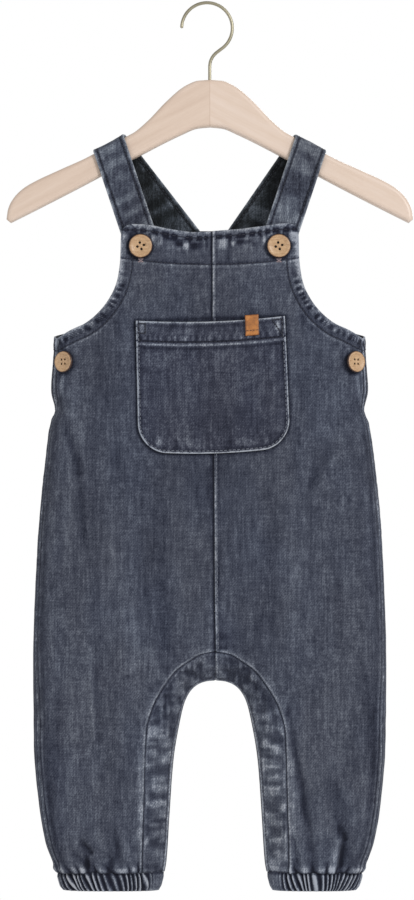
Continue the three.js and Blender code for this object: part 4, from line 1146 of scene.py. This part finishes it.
def makeCuff(side):
    c = cuffShape
    shown = np.linspace(levels["cuffTop"] + halfGap, levels["cuffBottom"], c["rows"])
    tucked = len(c["tuckedUp"])
    drops = np.concatenate([levels["cuffTop"] + np.array(c["tuckedUp"]), shown])
    angle = np.linspace(0, 2 * math.pi, c["around"], endpoint=False)
    t = np.clip((drops - shown[0]) / (shown[-1] - shown[0]), 0, 1)
    swell = np.interp(t, np.linspace(0, 1, len(c["swell"])), c["swell"])
    swell[:tucked] = c["tuckedIn"]
    edge = side * archX + archHalf(drops)
    centre, half = (outlineHalf(drops) + edge) / 2, (outlineHalf(drops) - edge) / 2
    across, out = (np.sign(v) * np.abs(v) ** gathers["squareness"] for v in (np.cos(angle), np.sin(angle)))
    fromInner = half[:, None] * (1 + across)
    flat = smooth(*gathers["flatReach"], fromInner)
    turn = np.broadcast_to(angle, fromInner.shape)
    wave = gatherWave(side, turn, np.repeat(drops[:, None], len(angle), axis=1))[0]
    down = t[:, None]
    tall = 1 - 0.3 * smooth(0.8, 1, down) - 0.3 * (1 - smooth(0, 0.2, down))
    bulge = c["ridge"] * (wave * tall * flat + 0.35 * (1 - flat) - 0.55)
    bulge[:tucked] = 0

    def ring(grow):
        x = side * (centre[:, None] + (half[:, None] + grow) * across)
        y = -(depthOf["front"](drops)[:, None] + grow) * out
        return np.stack([x, y, np.repeat(-drops[:, None], len(angle), axis=1)], axis=-1).reshape(-1, 3)

    around, rows = len(angle), len(drops)
    points = np.concatenate([ring(swell[:, None] + bulge), ring(swell[:, None] - c["wall"] + 0 * bulge)])
    face = ringQuads(rows, around)
    k = np.arange(around)
    after, last, under = (k + 1) % around, (rows - 1) * around, rows * around
    rims = [np.stack([k, k + under, after + under, after], axis=1),
            np.stack([last + k, last + after, last + after + under, last + k + under], axis=1)]
    quads = faceOut(points, np.concatenate([face, (face + under)[:, ::-1], *rims]))
    slots = np.repeat([0, 1, 0], [len(face), len(face), 2 * around])
    fromFlat = fromInner - gathers["flatReach"][1]
    # painted shade in the gathers' valleys and a painted highlight on their ridges, and painted shade along
    # the cuff's top under the seam
    paleness = c["gatherLightAndShade"] * (wave - c["gatherMiddle"]) * flat + c["flatWear"] * (1 - flat) + c["paler"][side]
    paleness = paleness + 0.45 * smooth(0.85, 1, down) - 1.1 * (1 - smooth(0, 0.12, down))
    paleness = paleness - 0.7 * ridge(fromFlat, 0.8) + 0.3 * softNoise(gathers["halfWide"] * turn, 12 * down, 3, 5, 7)
    marks = outsideMarks(paleness, np.where(flat < 0.5, fromFlat, relief["noStitch"]))
    marks = {label: np.concatenate([v.ravel(), w.ravel()]) for label, (v, w) in marks.items()}
    name = sideNames[side]
    piece = makeMesh(f"elastic_cuff_{name}", points, quads, [denimBand, denimReverse], marks, slots)
    dress(piece, f"cuff_{name}")


for side in (-1, 1):
    makeCuff(side)
print("dungarees: cuffs gathered")


# The hanger's outline, shared with the straps' folds

hangerShape = {
    "topOut": [0, 9, 15, 21, 33, 45, 56.2, 92, 109.4, 133, 140, 145.6, 149, 150],
    "topDrop": [56, 56.7, 58.9, 62.4, 73, 85.6, 95.1, 114.1, 121.9, 133.2, 138.2, 144.6, 152, 159],
    "bottomOut": [0, 9, 20.7, 56.2, 97.5, 133, 147],
    "bottomDrop": [90.7, 91.6, 96.3, 114.3, 136.2, 154.4, 161.4],
    "halfThickness": 6, "round": 3, "restFrom": (56.2, 95.1), "restTo": (92, 114.1),
    "tipFrom": 133, "tipLong": 17, "rows": {"top": 80, "tip": 26, "bottom": 70, "bevel": 5},
}
hangerSlope = math.atan2(hangerShape["restTo"][1] - hangerShape["restFrom"][1],
                         hangerShape["restTo"][0] - hangerShape["restFrom"][0])


def hangerOutline():
    h, rows = hangerShape, hangerShape["rows"]
    top, bottom = curveOf(h["topOut"], h["topDrop"]), curveOf(h["bottomOut"], h["bottomDrop"])
    tip = np.linspace(0, 1, rows["tip"])[1:] ** 0.6
    topOuts = np.concatenate([np.linspace(0, h["tipFrom"], rows["top"]), h["tipFrom"] + h["tipLong"] * tip])
    bottomOuts = np.linspace(h["bottomOut"][-1], 0, rows["bottom"])
    straight = (topOuts > h["restFrom"][0]) & (topOuts < h["restTo"][0])
    line = h["restFrom"][1] + (topOuts - h["restFrom"][0]) * math.tan(hangerSlope)
    drops = np.concatenate([np.where(straight, line, top(topOuts)), bottom(bottomOuts)])
    right = np.stack([np.concatenate([topOuts, bottomOuts]), -drops], axis=1)
    return np.concatenate([right, right[1:-1][::-1] * (-1, 1)])


def makeHanger():
    h, outline = hangerShape, hangerOutline()
    curve = bpy.data.curves.new("hanger_outline", "CURVE")
    curve.dimensions, curve.fill_mode = "2D", "BOTH"
    spline = curve.splines.new("POLY")
    spline.points.add(len(outline) - 1)
    for point, (x, z) in zip(spline.points, outline * mm):
        point.co = (x, z, 0, 1)
    spline.use_cyclic_u = True
    curve.extrude = (h["halfThickness"] - h["round"]) * mm
    curve.bevel_depth, curve.offset = h["round"] * mm, -h["round"] * mm
    curve.bevel_resolution = h["rows"]["bevel"]
    shaper = link(bpy.data.objects.new("hanger_shaper", curve))
    mesh = bpy.data.meshes.new_from_object(shaper.evaluated_get(bpy.context.evaluated_depsgraph_get()))
    bpy.data.objects.remove(shaper)
    mesh.transform(Matrix.Rotation(math.radians(90), 4, "X"))
    for polygon in mesh.polygons:
        polygon.use_smooth = abs(polygon.normal.y) < 0.999
    mesh.materials.clear()
    mesh.materials.append(hangerWood)
    dress(link(bpy.data.objects.new("hanger_body", mesh)), "hanger")


makeHanger()


# Hook: a loop, a slant and a stem of one wire

hookShape = {
    "radius": 1.2, "loop": 18.7, "loopX": -2, "start": 177, "end": -53, "bendUp": 7, "stem": 17, "sides": 20,
    "rows": {"loop": 90, "slant": 12, "bend": 14, "stem": 10},
}


def wire(name, points, radius, sides, material):  # lies in the XZ plane, with a half ball at its first end
    ahead = unit(points[0] - points[1])
    ball = np.linspace(1, 0.02, 6)
    tip = radius * np.sqrt(np.maximum(0.0025, 1 - ball ** 2))
    radii = np.concatenate([tip, np.full(len(points), radius)])
    points = np.concatenate([points[0] + ahead * radius * ball[:, None], points])
    across = np.array([0, 1.0, 0])
    first = unit(np.cross(unit(np.gradient(points, axis=0)), across))
    around = np.arange(sides) * 2 * math.pi / sides
    ring = first[:, None] * np.cos(around)[None, :, None] + across[None, None] * np.sin(around)[None, :, None]
    vertices = (points[:, None] + ring * radii[:, None, None]).reshape(-1, 3)
    k = np.arange(0, sides - 4, 2)
    ends = [end * sides + np.stack([0 * k, k + 1, k + 2, k + 3], axis=1) for end in (0, len(points) - 1)]
    quads = faceOut(vertices, np.concatenate([ringQuads(len(points), sides), *ends]))
    return makeMesh(name, vertices, quads, [material])


def makeHook():
    h, rows = hookShape, hookShape["rows"]
    loopZ = -math.sqrt((h["loop"] - h["radius"]) ** 2 - h["loopX"] ** 2)
    angle = np.radians(np.linspace(h["start"], h["end"], rows["loop"]))
    loop = np.stack([np.cos(angle), 0 * angle, np.sin(angle)], axis=1) * h["loop"] + (h["loopX"], 0, loopZ)
    slant = math.radians(h["end"])
    down = np.array([math.sin(slant), 0, -math.cos(slant)])
    bend = loop[-1] + down * loop[-1][0] / -math.sin(slant)
    near = bend - down * h["bendUp"]
    below = bend - (0, 0, h["bendUp"])
    straight = loop[-1] + (near - loop[-1]) * steps(rows["slant"])
    t = steps(rows["bend"])
    curve = near * (1 - t) ** 2 + 2 * bend * t * (1 - t) + below * t ** 2
    foot = np.array([0, 0, -hangerShape["topDrop"][0] - h["stem"]])
    stem = below + (foot - below) * steps(rows["stem"])
    points = np.concatenate([loop, straight, curve, stem])
    dress(wire("hook_wire", points, h["radius"], h["sides"], hookMetal), "hook")


makeHook()
print("dungarees: hanger and hook made")


# Straps, folded over the hanger's slope

strapShape = {
    "width": 25, "thickness": 2.2, "x": 73.2, "lean": math.radians(18.5), "front": 92, "backEnd": 175,
    "across": 26, "step": 1.6, "foldRows": 34, "edgeStitch": 3.1, "edgeThin": 0.5, "seed": {-1: 80, 1: 86},
    "underSeed": 30, "skewOver": 30, "pressOver": 12, "shadeOver": 62, "shade": (0.55, 0.9),
    "swing": {-1: 0.008, 1: 0.05}, "flare": {-1: 0.0012, 1: 0},  # how the back runs lean in and widen
    "raised": [("edge", 1.3, 1.2, 0.25, 0), ("edge", 3.1, 0.8, -0.2, 0)],
    "paleness": [("edge", 0, 1.1, 1.25, 1), ("edge", 3.1, 0.9, -0.65, 0), ("edge", 4.6, 0.9, 0.3, 0),
             ("fold", 0, 3, 0.5, 0)],
}
strapBeta = hangerSlope - strapShape["lean"]
strapCorner = hangerShape["round"] + seamGap + strapShape["thickness"] / 2
strapFlat = 2 * (hangerShape["halfThickness"] - hangerShape["round"])
strapQuarter = math.pi / 2 * strapCorner
strapWrap = 2 * strapQuarter + strapFlat
strapOut = strapShape["x"] - hangerShape["restFrom"][0]
strapHangerDrop = hangerShape["restFrom"][1] + strapOut * math.tan(hangerSlope)


def strapPoint(side, b, w, lift):  # b runs along the strap and w across it
    b, w, lift = np.broadcast_arrays(np.asarray(b, float), np.asarray(w, float), np.asarray(lift, float))
    radius = hangerShape["round"] + seamGap + lift
    start = hangerShape["halfThickness"] - hangerShape["round"]
    over = np.clip(b / strapCorner, 0, math.pi / 2)
    back = np.clip((b - strapQuarter - strapFlat) / strapCorner, 0, math.pi / 2)
    flat = np.clip(b - strapQuarter, 0, strapFlat)
    behind = np.maximum(b - strapWrap, 0)
    y = np.where(b <= strapQuarter, -start - radius * np.cos(over), flat - start + radius * np.sin(back))
    rise = np.where(b <= strapQuarter, radius * np.sin(over), radius * np.cos(back)) - hangerShape["round"]
    rise = rise + np.minimum(b, 0) - behind
    w = w * (1 + strapShape["flare"][side] * behind)
    a = strapWrap / 2 * math.tan(strapBeta) + strapShape["swing"][side] * behind
    a = a - b * math.tan(strapBeta) + w / math.cos(strapBeta)
    x = strapShape["x"] + a * math.cos(hangerSlope) + rise * math.sin(hangerSlope)
    z = -strapHangerDrop - a * math.sin(hangerSlope) + rise * math.cos(hangerSlope)
    return np.stack([side * x, y, z], axis=-1)


def strapNormal(side, b, w, lift):
    return unit(strapPoint(side, b, w, lift + 0.4) - strapPoint(side, b, w, lift))


def strapRelief(b, w, seed):
    s = strapShape
    at = {"edge": s["width"] / 2 - np.abs(w), "fold": b - strapQuarter}
    lumps = 0.9 * np.tanh(2.4 * softNoise(b, w, 5.4, 16, seed + 3))
    lumps = lumps + 0.7 * puckers(at["edge"], b, 2.2, 8.5, 8, seed)
    paleness = 0.55 * lumps + lineSum(s["paleness"], at, napOf(b, w, 1.6, seed + 8))
    paleness = paleness + 0.25 * softNoise(b, w, 24, 20, seed + 6)
    return 0.3 * lumps + lineSum(s["raised"], at), paleness, at["edge"] - s["edgeStitch"]


def sewStrap(side, stations, seed):
    s, box = strapShape, ThreadBox()
    line = np.linspace(stations[0] + 2, stations[-1] - 10, 400)
    behind = line[line > strapWrap]
    for edge in (-1, 1):
        w = edge * (s["width"] / 2 - s["edgeStitch"])
        level = s["thickness"] + strapRelief(line, w + 0 * line, seed)[0]
        box.add(strapPoint(side, line, w, level), strapNormal(side, line, w, level))
        level = np.maximum(0, -strapRelief(behind, w + 0 * behind, seed + s["underSeed"])[0])
        box.add(strapPoint(side, behind, w, level), -strapNormal(side, behind, w, level))
    box.piece(f"strap_stitches_{sideNames[side]}", threads["denim"])


def makeStrap(side):
    s, swing = strapShape, strapShape["swing"][side]
    backRate = math.cos(hangerSlope + strapBeta) / math.cos(strapBeta) + swing * math.sin(hangerSlope)
    backSkew = -math.sin(hangerSlope) / math.cos(strapBeta) / backRate
    backStart = -float(strapPoint(side, strapWrap, 0, 0)[2])
    backEnd = strapWrap + (s["backEnd"] - backStart) / backRate
    stations = np.concatenate([
        spread(-s["front"], 0, int(s["front"] / s["step"])), np.linspace(0, strapWrap, s["foldRows"])[1:],
        spread(strapWrap, backEnd, int((backEnd - strapWrap) / s["step"]))[1:]])
    w = spread(-s["width"] / 2, s["width"] / 2, s["across"], 0.6)[None, :]
    endSkew = smooth(strapWrap + s["skewOver"], backEnd, stations)[:, None] * backSkew
    startSkew = (1 - smooth(-s["front"], s["skewOver"] - s["front"], stations))[:, None] * math.sin(strapBeta)
    b = stations[:, None] + (endSkew + startSkew) * w
    w = w + 0 * b
    thin = s["edgeThin"] * (np.abs(w) > s["width"] / 2 - 0.01)
    seed = s["seed"][side]
    upHeight, upWorn, upStitch = strapRelief(b, w, seed)
    lowHeight, lowWorn, lowStitch = strapRelief(b, w, seed + s["underSeed"])
    pressed = 0.4 + 0.6 * smooth(strapWrap, strapWrap + s["pressOver"], b)
    outer = strapPoint(side, b, w, s["thickness"] + upHeight - thin)
    inner = strapPoint(side, b, w, thin + np.maximum(0, -lowHeight) * pressed * (b > 0))
    # painted shade on the underside, darkest where the strap leaves the hanger
    shade = s["shade"][0] + s["shade"][1] * (1 - smooth(strapWrap, strapWrap + s["shadeOver"], b))
    marks = {"paleness": (upWorn, 1.1 * lowWorn - shade), "stitch": (upStitch, lowStitch)}
    name = sideNames[side]
    piece = makeCloth(f"shoulder_strap_{name}", outer, inner, marks, [denimStrap[side], denimUnderShaded[side]])
    dress(piece, f"strap_{name}")
    sewStrap(side, stations, seed)


for side in (-1, 1):
    makeStrap(side)
print("dungarees: straps folded over the hanger")


# Pocket, its stitches and its leather tab

pocketLines = {
    "raised": [("side", 0.7, 0.8, 0.3, 0), ("hem", -0.4, 0.9, 0.35, 0), ("hemStitch", 0, 0.9, -0.35, 0)],
    "paleness": [("edge", 0, 1.0, 2.0, 1), ("edge", 3.2, 1.0, -0.5, 0), ("hem", -0.2, 0.9, 0.9, 0),
             ("hem", -0.2, 0.9, 0.3, 1), ("hem", 2.2, 1.3, -0.75, 0), ("hemStitch", 0, 0.8, -0.8, 0)],
}
pocketLift = seamGap + 0.35
tackCorners = [  # the stitched shapes in the pocket's top corners: from which side, inwards and down
    (-1, [(2, 2), (7, 2), (7, 9), (2, 9)]), (1, [(2, 2), (9.5, 2), (2.4, 13.5)]),
]
tackStitch = {"pitch": 2, "length": 1.9, "radius": 0.52}


def pocketRelief(across, down):
    p, hem, sewn = pocketShape, pocketShape["hem"], pocketShape["hemStitch"]
    fromSide, along = nearLine(pocketLine, across, down)
    fromLow = p["height"] - down
    at = {"side": fromSide, "edge": np.minimum(fromSide, down), "hem": down - hem, "hemStitch": down - sewn}
    nap = napOf(across, down, 1.5, 106)
    fine = 0.65 * puckers(down, across, 0.5, sewn, 8, 101)
    fine = fine + 0.5 * puckers(down, across, hem, hem + 12, 8, 102)
    fine = fine + 0.45 * puckers(fromSide, along, 0.5, 10, 7, 103) * smooth(hem, hem + 8, down)
    fine = fine + 0.4 * puckers(fromLow, across, 2, 12, 7.5, 105)
    onHem = 1 - smooth(hem - 0.3, hem + 0.7, down)
    height = p["hemRaise"] * onHem + 0.35 * fine + 0.5 * washing(across, down, 104)
    height = height + lineSum(pocketLines["raised"], at)
    hemBeat = across / 5.2 + 0.5 * wander(across, 8, 109)
    hemPuffs = np.tanh(2 * np.sin(2 * math.pi * hemBeat)) * within(down, 9, 11, sewn - 1.4, sewn - 0.4)
    lowPuffs = puckers(fromLow, across, 2.4, 12, 6, 110, 3) * (1 - smooth(38, 44, np.abs(across)))
    corners = np.exp(-(((np.abs(across) - p["width"] / 2 + 4.7) / 2.9) ** 4) - ((down - 5.7) / 4) ** 4)
    middle = np.exp(-(((across - 12) / 17) ** 2) - ((down - 74) / 22) ** 2)
    paleness = 0.7 * fine + lineSum(pocketLines["paleness"], at, nap) + 0.55 * hemPuffs + 0.6 * lowPuffs
    paleness = paleness + 1.1 * corners - 0.4 * middle + 0.12 * softNoise(across, down, 5, 40, 107)
    paleness = paleness + 0.05 + 0.14 * softNoise(across, down, 22, 26, 108)
    return height, paleness, nearest(fromSide - p["edgeStitch"], at["hemStitch"])


def onFront(across, down, lift):  # a place on the pocket, lifted off the front, and the way out of the cloth
    x, drop = pocketPlace(across, down)
    point, normal = np.zeros((*np.shape(x), 3)), np.zeros((*np.shape(x), 3))
    for s in (-1, 1):
        here = (np.where(x < 0, -1, 1) == s)[..., None]
        point = np.where(here, clothPoint(s, "front", np.abs(x), drop), point)
        normal = np.where(here, clothNormal(s, "front", np.abs(x), drop), normal)
    return point + normal * np.asarray(lift)[..., None], normal


def makePocket():
    p = pocketShape
    straight, lowRows = p["height"] - p["corner"], p["lowRows"]
    lower = straight + p["corner"] * np.sin(np.linspace(0, math.pi / 2, lowRows + 1))[1:]
    downs = np.concatenate([spread(0, straight, p["rows"] - lowRows), lower])
    past = np.clip((downs - straight) / p["corner"], 0, 1)
    rowHalf = p["width"] / 2 - p["corner"] * (1 - np.sqrt(1 - past ** 2))
    across = rowHalf[:, None] * spread(-1, 1, p["columns"], p["near"])[None, :]
    down = np.repeat(downs[:, None], across.shape[1], axis=1)
    height, paleness, stitch = pocketRelief(across, down)
    level = pocketLift + denimThickness + height - rounded(*across.shape, p["pinch"])
    outer = onFront(across, down, level)[0]
    inner = onFront(across, down, pocketLift + 0 * height)[0]
    piece = makeCloth("patch_pocket", outer, inner, outsideMarks(paleness, stitch), [denimPocket, denimReverse])
    dress(piece, "pocket")


def sewPocket():
    p, pale, dark = pocketShape, ThreadBox(), ThreadBox()

    def sew(box, line, **changes):
        height = pocketRelief(line[:, 0], line[:, 1])[0]
        box.add(*onFront(line[:, 0], line[:, 1], pocketLift + denimThickness + height), **changes)

    corner = p["width"] / 2
    sew(pale, offsetLine(pocketLine, p["edgeStitch"])[1:-1])
    sew(dark, np.stack([np.linspace(2 - corner, corner - 2, 80), np.full(80, p["hemStitch"])], axis=1))
    for side, shape in tackCorners:
        loop = np.array([(side * (corner - inwards), down) for inwards, down in shape + shape[:1]])
        runs = [a + (b - a) * np.linspace(0, 1, 12)[:, None] for a, b in zip(loop[:-1], loop[1:])]
        sew(dark, np.concatenate(runs), **tackStitch)
    pale.piece("pocket_edge_stitches", threads["paleness"])
    dark.piece("pocket_hem_stitches", threads["ink"])


labelShape = {
    "x": 30.9, "width": 10.2, "height": 14.9, "above": 3, "thickness": 1.1, "stitchUp": 3.6, "lift": 0.75,
    "columns": 16, "rows": 24, "near": 0.4, "pinch": 0.35, "bulge": 0.25, "fold": 0.35, "foldOver": 2,
    "stitch": {"pitch": 1.9, "length": 1.75, "radius": 0.22},
}


def makeLabel():
    g = labelShape
    low, half = g["height"] - g["above"], g["width"] / 2
    across = g["x"] + spread(-half, half, g["columns"], g["near"])[None, :]
    across, down = np.broadcast_arrays(across, spread(-g["above"], low, g["rows"], g["near"])[:, None])
    base = pocketLift + denimThickness + pocketShape["hemRaise"] + g["lift"]
    bulge = g["bulge"] * ridge(down + g["above"] - 1.5, 1.6)
    fold = g["fold"] * smooth(low - g["foldOver"], low, down)
    level = base + g["thickness"] + bulge - fold - rounded(*across.shape, g["pinch"])
    outer = onFront(across, down, level)[0]
    inner = onFront(across, down, base - 0.2 + 0 * down)[0]
    fromEdge = np.minimum(half - np.abs(across - g["x"]), np.minimum(down + g["above"], low - down))
    rim = ridge(fromEdge, 0.75) + 0.5 * ridge(low - g["stitchUp"] - down, 0.5)
    piece = makeCloth("pocket_tab", outer, inner, {"rim": (rim, rim)}, [tanLeather], innerSlot=0)
    dress(piece, "pocket_label")
    box, reach = ThreadBox(), half - g["near"]
    line = g["x"] + np.linspace(-reach, reach, 12)
    sewn, level = 0 * line + low - g["stitchUp"], 0 * line + base + g["thickness"] - 0.1
    box.add(*onFront(line, sewn, level), **g["stitch"])
    box.piece("tab_stitches", threads["dark"])


makePocket()
sewPocket()
makeLabel()
print("dungarees: pocket sewn on")


# Buttons

buttonShape = {  # profile: radius and height; thread: the plug in each hole, in the same way
    "profile": [(0, 0.15), (5.0, 0), (7.7, 0), (8.45, 0.35), (8.7, 0.9), (8.7, 1.7), (8.4, 2.3), (7.7, 2.6),
                (7.0, 2.6), (6.4, 2.45), (5.9, 2.15), (5.4, 2.0), (3.0, 1.95), (0, 1.95)],
    "sides": 72, "hole": 0.92, "holeSides": 20, "spread": 2.4,
    "thread": [(0.5, -0.5), (0.5, 1.1), (0.25, 1.35)], "threadSides": 8,
    "turn": {"bib": 0.25, "side": math.pi / 4}, "standoff": {"bib": 0.8, "side": 1.5},
    "tilt": {"bib": 0, "side": math.radians(8)}, "size": {"bib": 1.02, "side": 0.91}, "rim": (7.6, 8.4, 1.3),
}
tackShape = {"below": 10.6, "half": 2.5, "rows": [(0, 1.4), (0, -1.4), (-1.1, 0), (1.1, 0)],
             "stitch": {"pitch": 5, "length": 4.6, "radius": 0.3}}


def circle(radius, height, sides, x=0, y=0):
    return [((x + radius * math.cos(a)) * mm, (y + radius * math.sin(a)) * mm, height * mm)
            for a in np.arange(sides) * 2 * math.pi / sides]


def rawPiece(name, vertices, faces):
    mesh = bpy.data.meshes.new(name)
    mesh.from_pydata(vertices, [], faces)
    mesh.update()
    return link(bpy.data.objects.new(name, mesh))


def turned(name, profile, sides):
    vertices, faces = [], []
    for radius, height in profile:
        vertices += circle(radius, height, sides) if radius else [(0, 0, height * mm)]
    starts = np.cumsum([0] + [sides if radius else 1 for radius, height in profile])
    for i in range(len(profile) - 1):
        a, b = starts[i], starts[i + 1]
        for k in range(sides):
            n = (k + 1) % sides
            if not profile[i][0]:
                faces.append((a, b + n, b + k))
            elif not profile[i + 1][0]:
                faces.append((a + k, a + n, b))
            else:
                faces.append((a + k, a + n, b + n, b + k))
    return rawPiece(name, vertices, faces)


def posts(name, turn, rings, sides):  # a closed post in each of the four holes
    vertices, faces = [], []
    for i in range(4):
        angle, first = turn + math.pi / 2 * i, len(vertices)
        x, y = buttonShape["spread"] * math.cos(angle), buttonShape["spread"] * math.sin(angle)
        for radius, height in rings:
            vertices += circle(radius, height, sides, x, y)
        faces += [tuple(quad) for quad in (ringQuads(len(rings), sides) + first).tolist()]
        last = first + (len(rings) - 1) * sides
        faces += [tuple(range(first + sides - 1, first - 1, -1)), tuple(range(last, last + sides))]
    return rawPiece(name, vertices, faces)


def makeButton(name, turn):
    b = buttonShape
    piece = turned(name, b["profile"], b["sides"])
    cutter = posts("drill", turn, [(b["hole"], -2), (b["hole"], 6)], b["holeSides"])
    cut = piece.modifiers.new("holes", "BOOLEAN")
    cut.operation, cut.object, cut.solver = "DIFFERENCE", cutter, "EXACT"
    mesh = bpy.data.meshes.new_from_object(piece.evaluated_get(bpy.context.evaluated_depsgraph_get()))
    piece.modifiers.clear()
    piece.data = mesh
    bpy.data.objects.remove(cutter)
    mesh.materials.clear()
    mesh.materials.append(coconut)
    far = np.array([math.hypot(v.co.x, v.co.y) for v in mesh.vertices]) / mm
    low, high, dark = b["rim"]
    rim = mesh.attributes.new("rim", "FLOAT", "POINT")
    rim.data.foreach_set("value", (dark * smooth(low, high, far)).astype(np.float32))
    for polygon in mesh.polygons:
        polygon.use_smooth = True
    return piece


def placeOnFront(piece, side, kind):
    b, (out, drop) = buttonShape, buttonPlaces[kind]
    girth = float(girthAt(out, drop))
    normal = clothNormal(side, "front", np.array(girth), np.array(drop))
    seat = clothPoint(side, "front", girth, drop) + normal * b["standoff"][kind]
    z = Vector(normal)
    x = (Vector((1, 0, 0)) - z * z.x).normalized()
    turn = Matrix((x, z.cross(x), z)).transposed().to_4x4()
    tilt = Matrix.Rotation(side * b["tilt"][kind], 4, "Y") @ Matrix.Scale(b["size"][kind], 4)
    piece.data.transform(Matrix.Translation(Vector(seat) * mm) @ turn @ tilt)


def makeButtonSet(kind, side):
    b, name = buttonShape, sideNames[side]
    button = makeButton(f"{kind}_button_{name}", b["turn"][kind])
    placeOnFront(button, side, kind)
    dress(button, f"button_{kind}_{name}")
    plugs = posts(f"{kind}_button_thread_{name}", b["turn"][kind], b["thread"], b["threadSides"])
    plugs.data.materials.append(threads["dark"])
    placeOnFront(plugs, side, kind)
    dress(plugs)


def sewTack(side, box):  # a small crossed tack where the buttonhole ends
    t, (out, drop) = tackShape, buttonPlaces["bib"]
    line = np.linspace(-t["half"], t["half"], 10)
    for row, lean in t["rows"]:
        down = drop + t["below"] + row + lean * line / t["half"]
        sewPanel(side, "front", girthAt(out, drop) + line, down, box, **t["stitch"])


tackThreads = ThreadBox()
for side in (-1, 1):
    for kind in ("bib", "side"):
        makeButtonSet(kind, side)
    sewTack(side, tackThreads)
threadOf["front"].piece("front_stitches", threads["denim"])
threadOf["back"].piece("back_stitches", threads["denim"])
paleThreads.piece("seam_stitches", threads["paleness"])
tackThreads.piece("buttonhole_bars", threads["tack"])
print("dungarees: buttons and stitches sewn")


# Camera, light and floor

photo = {
    "width": 414, "height": 900, "mmPerPixel": 0.739, "originPixel": (209.75, 4.5), "distance": 2200,
    "sensor": 36,
}
studio = {  # lights in metres: place, size and power
    "lights": {"key": ((1.9, -2.3, 0.75), 0.8, 62), "fill": ((-1.9, -1.7, -0.3), 1.4, 12),
               "back": ((0.6, 1.8, 0.5), 1.2, 20)},
    "middle": (0, 0, -0.35), "floorHalf": 1300, "floorDrop": 900, "floorGrey": 0.88, "floorRough": 0.8,
    "glow": 0.62, "backdrop": 1.0,
}


def placeCamera():
    p = photo
    x = (p["width"] / 2 - p["originPixel"][0]) * p["mmPerPixel"]
    z = -(p["height"] / 2 - p["originPixel"][1]) * p["mmPerPixel"]
    data = bpy.data.cameras.new("camera")
    data.sensor_fit, data.sensor_height = "VERTICAL", p["sensor"]
    data.lens = p["sensor"] * p["distance"] / (p["height"] * p["mmPerPixel"])
    camera = link(bpy.data.objects.new("camera", data))
    camera.location = (x * mm, -p["distance"] * mm, z * mm)
    camera.rotation_euler = (math.radians(90), 0, 0)
    bpy.context.scene.camera = camera


def areaLight(name, place, size, power):
    data = bpy.data.lights.new(name, "AREA")
    data.size, data.energy = size, power
    light = link(bpy.data.objects.new(name, data))
    light.location = place
    light.rotation_euler = (Vector(studio["middle"]) - Vector(place)).to_track_quat("-Z", "Y").to_euler()


def makeFloor():
    half, low, grey = studio["floorHalf"], -studio["floorDrop"], studio["floorGrey"]
    material = Paint("floor_pale").finish((grey, grey, grey, 1), {"Roughness": studio["floorRough"]})
    corners = [(-half, -half, low), (half, -half, low), (half, half, low), (-half, half, low)]
    makeMesh("floor", corners, [(0, 1, 2, 3)], [material])


def makeBackdrop():  # brighter where the camera sees it than where it lights the cloth
    world = bpy.data.worlds.new("studio")
    bpy.context.scene.world = world
    world.use_nodes = True
    nodes, links = world.node_tree.nodes, world.node_tree.links
    seen, strength = nodes.new("ShaderNodeLightPath"), nodes.new("ShaderNodeMix")
    background = nodes["Background"]
    strength.inputs["A"].default_value = studio["glow"]
    strength.inputs["B"].default_value = studio["backdrop"]
    links.new(seen.outputs["Is Camera Ray"], strength.inputs["Factor"])
    links.new(strength.outputs["Result"], background.inputs["Strength"])
    background.inputs["Color"].default_value = (1, 1, 1, 1)


placeCamera()
for name, (place, size, power) in studio["lights"].items():
    areaLight(name, place, size, power)
makeFloor()
makeBackdrop()
bpy.context.scene.view_settings.view_transform = "Standard"
print("dungarees: camera and light set")

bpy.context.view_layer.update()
count = sum(len(p.data.polygons) * 2 for p in bpy.data.objects if p.type == "MESH")
print("dungarees:", count, "triangles or fewer")
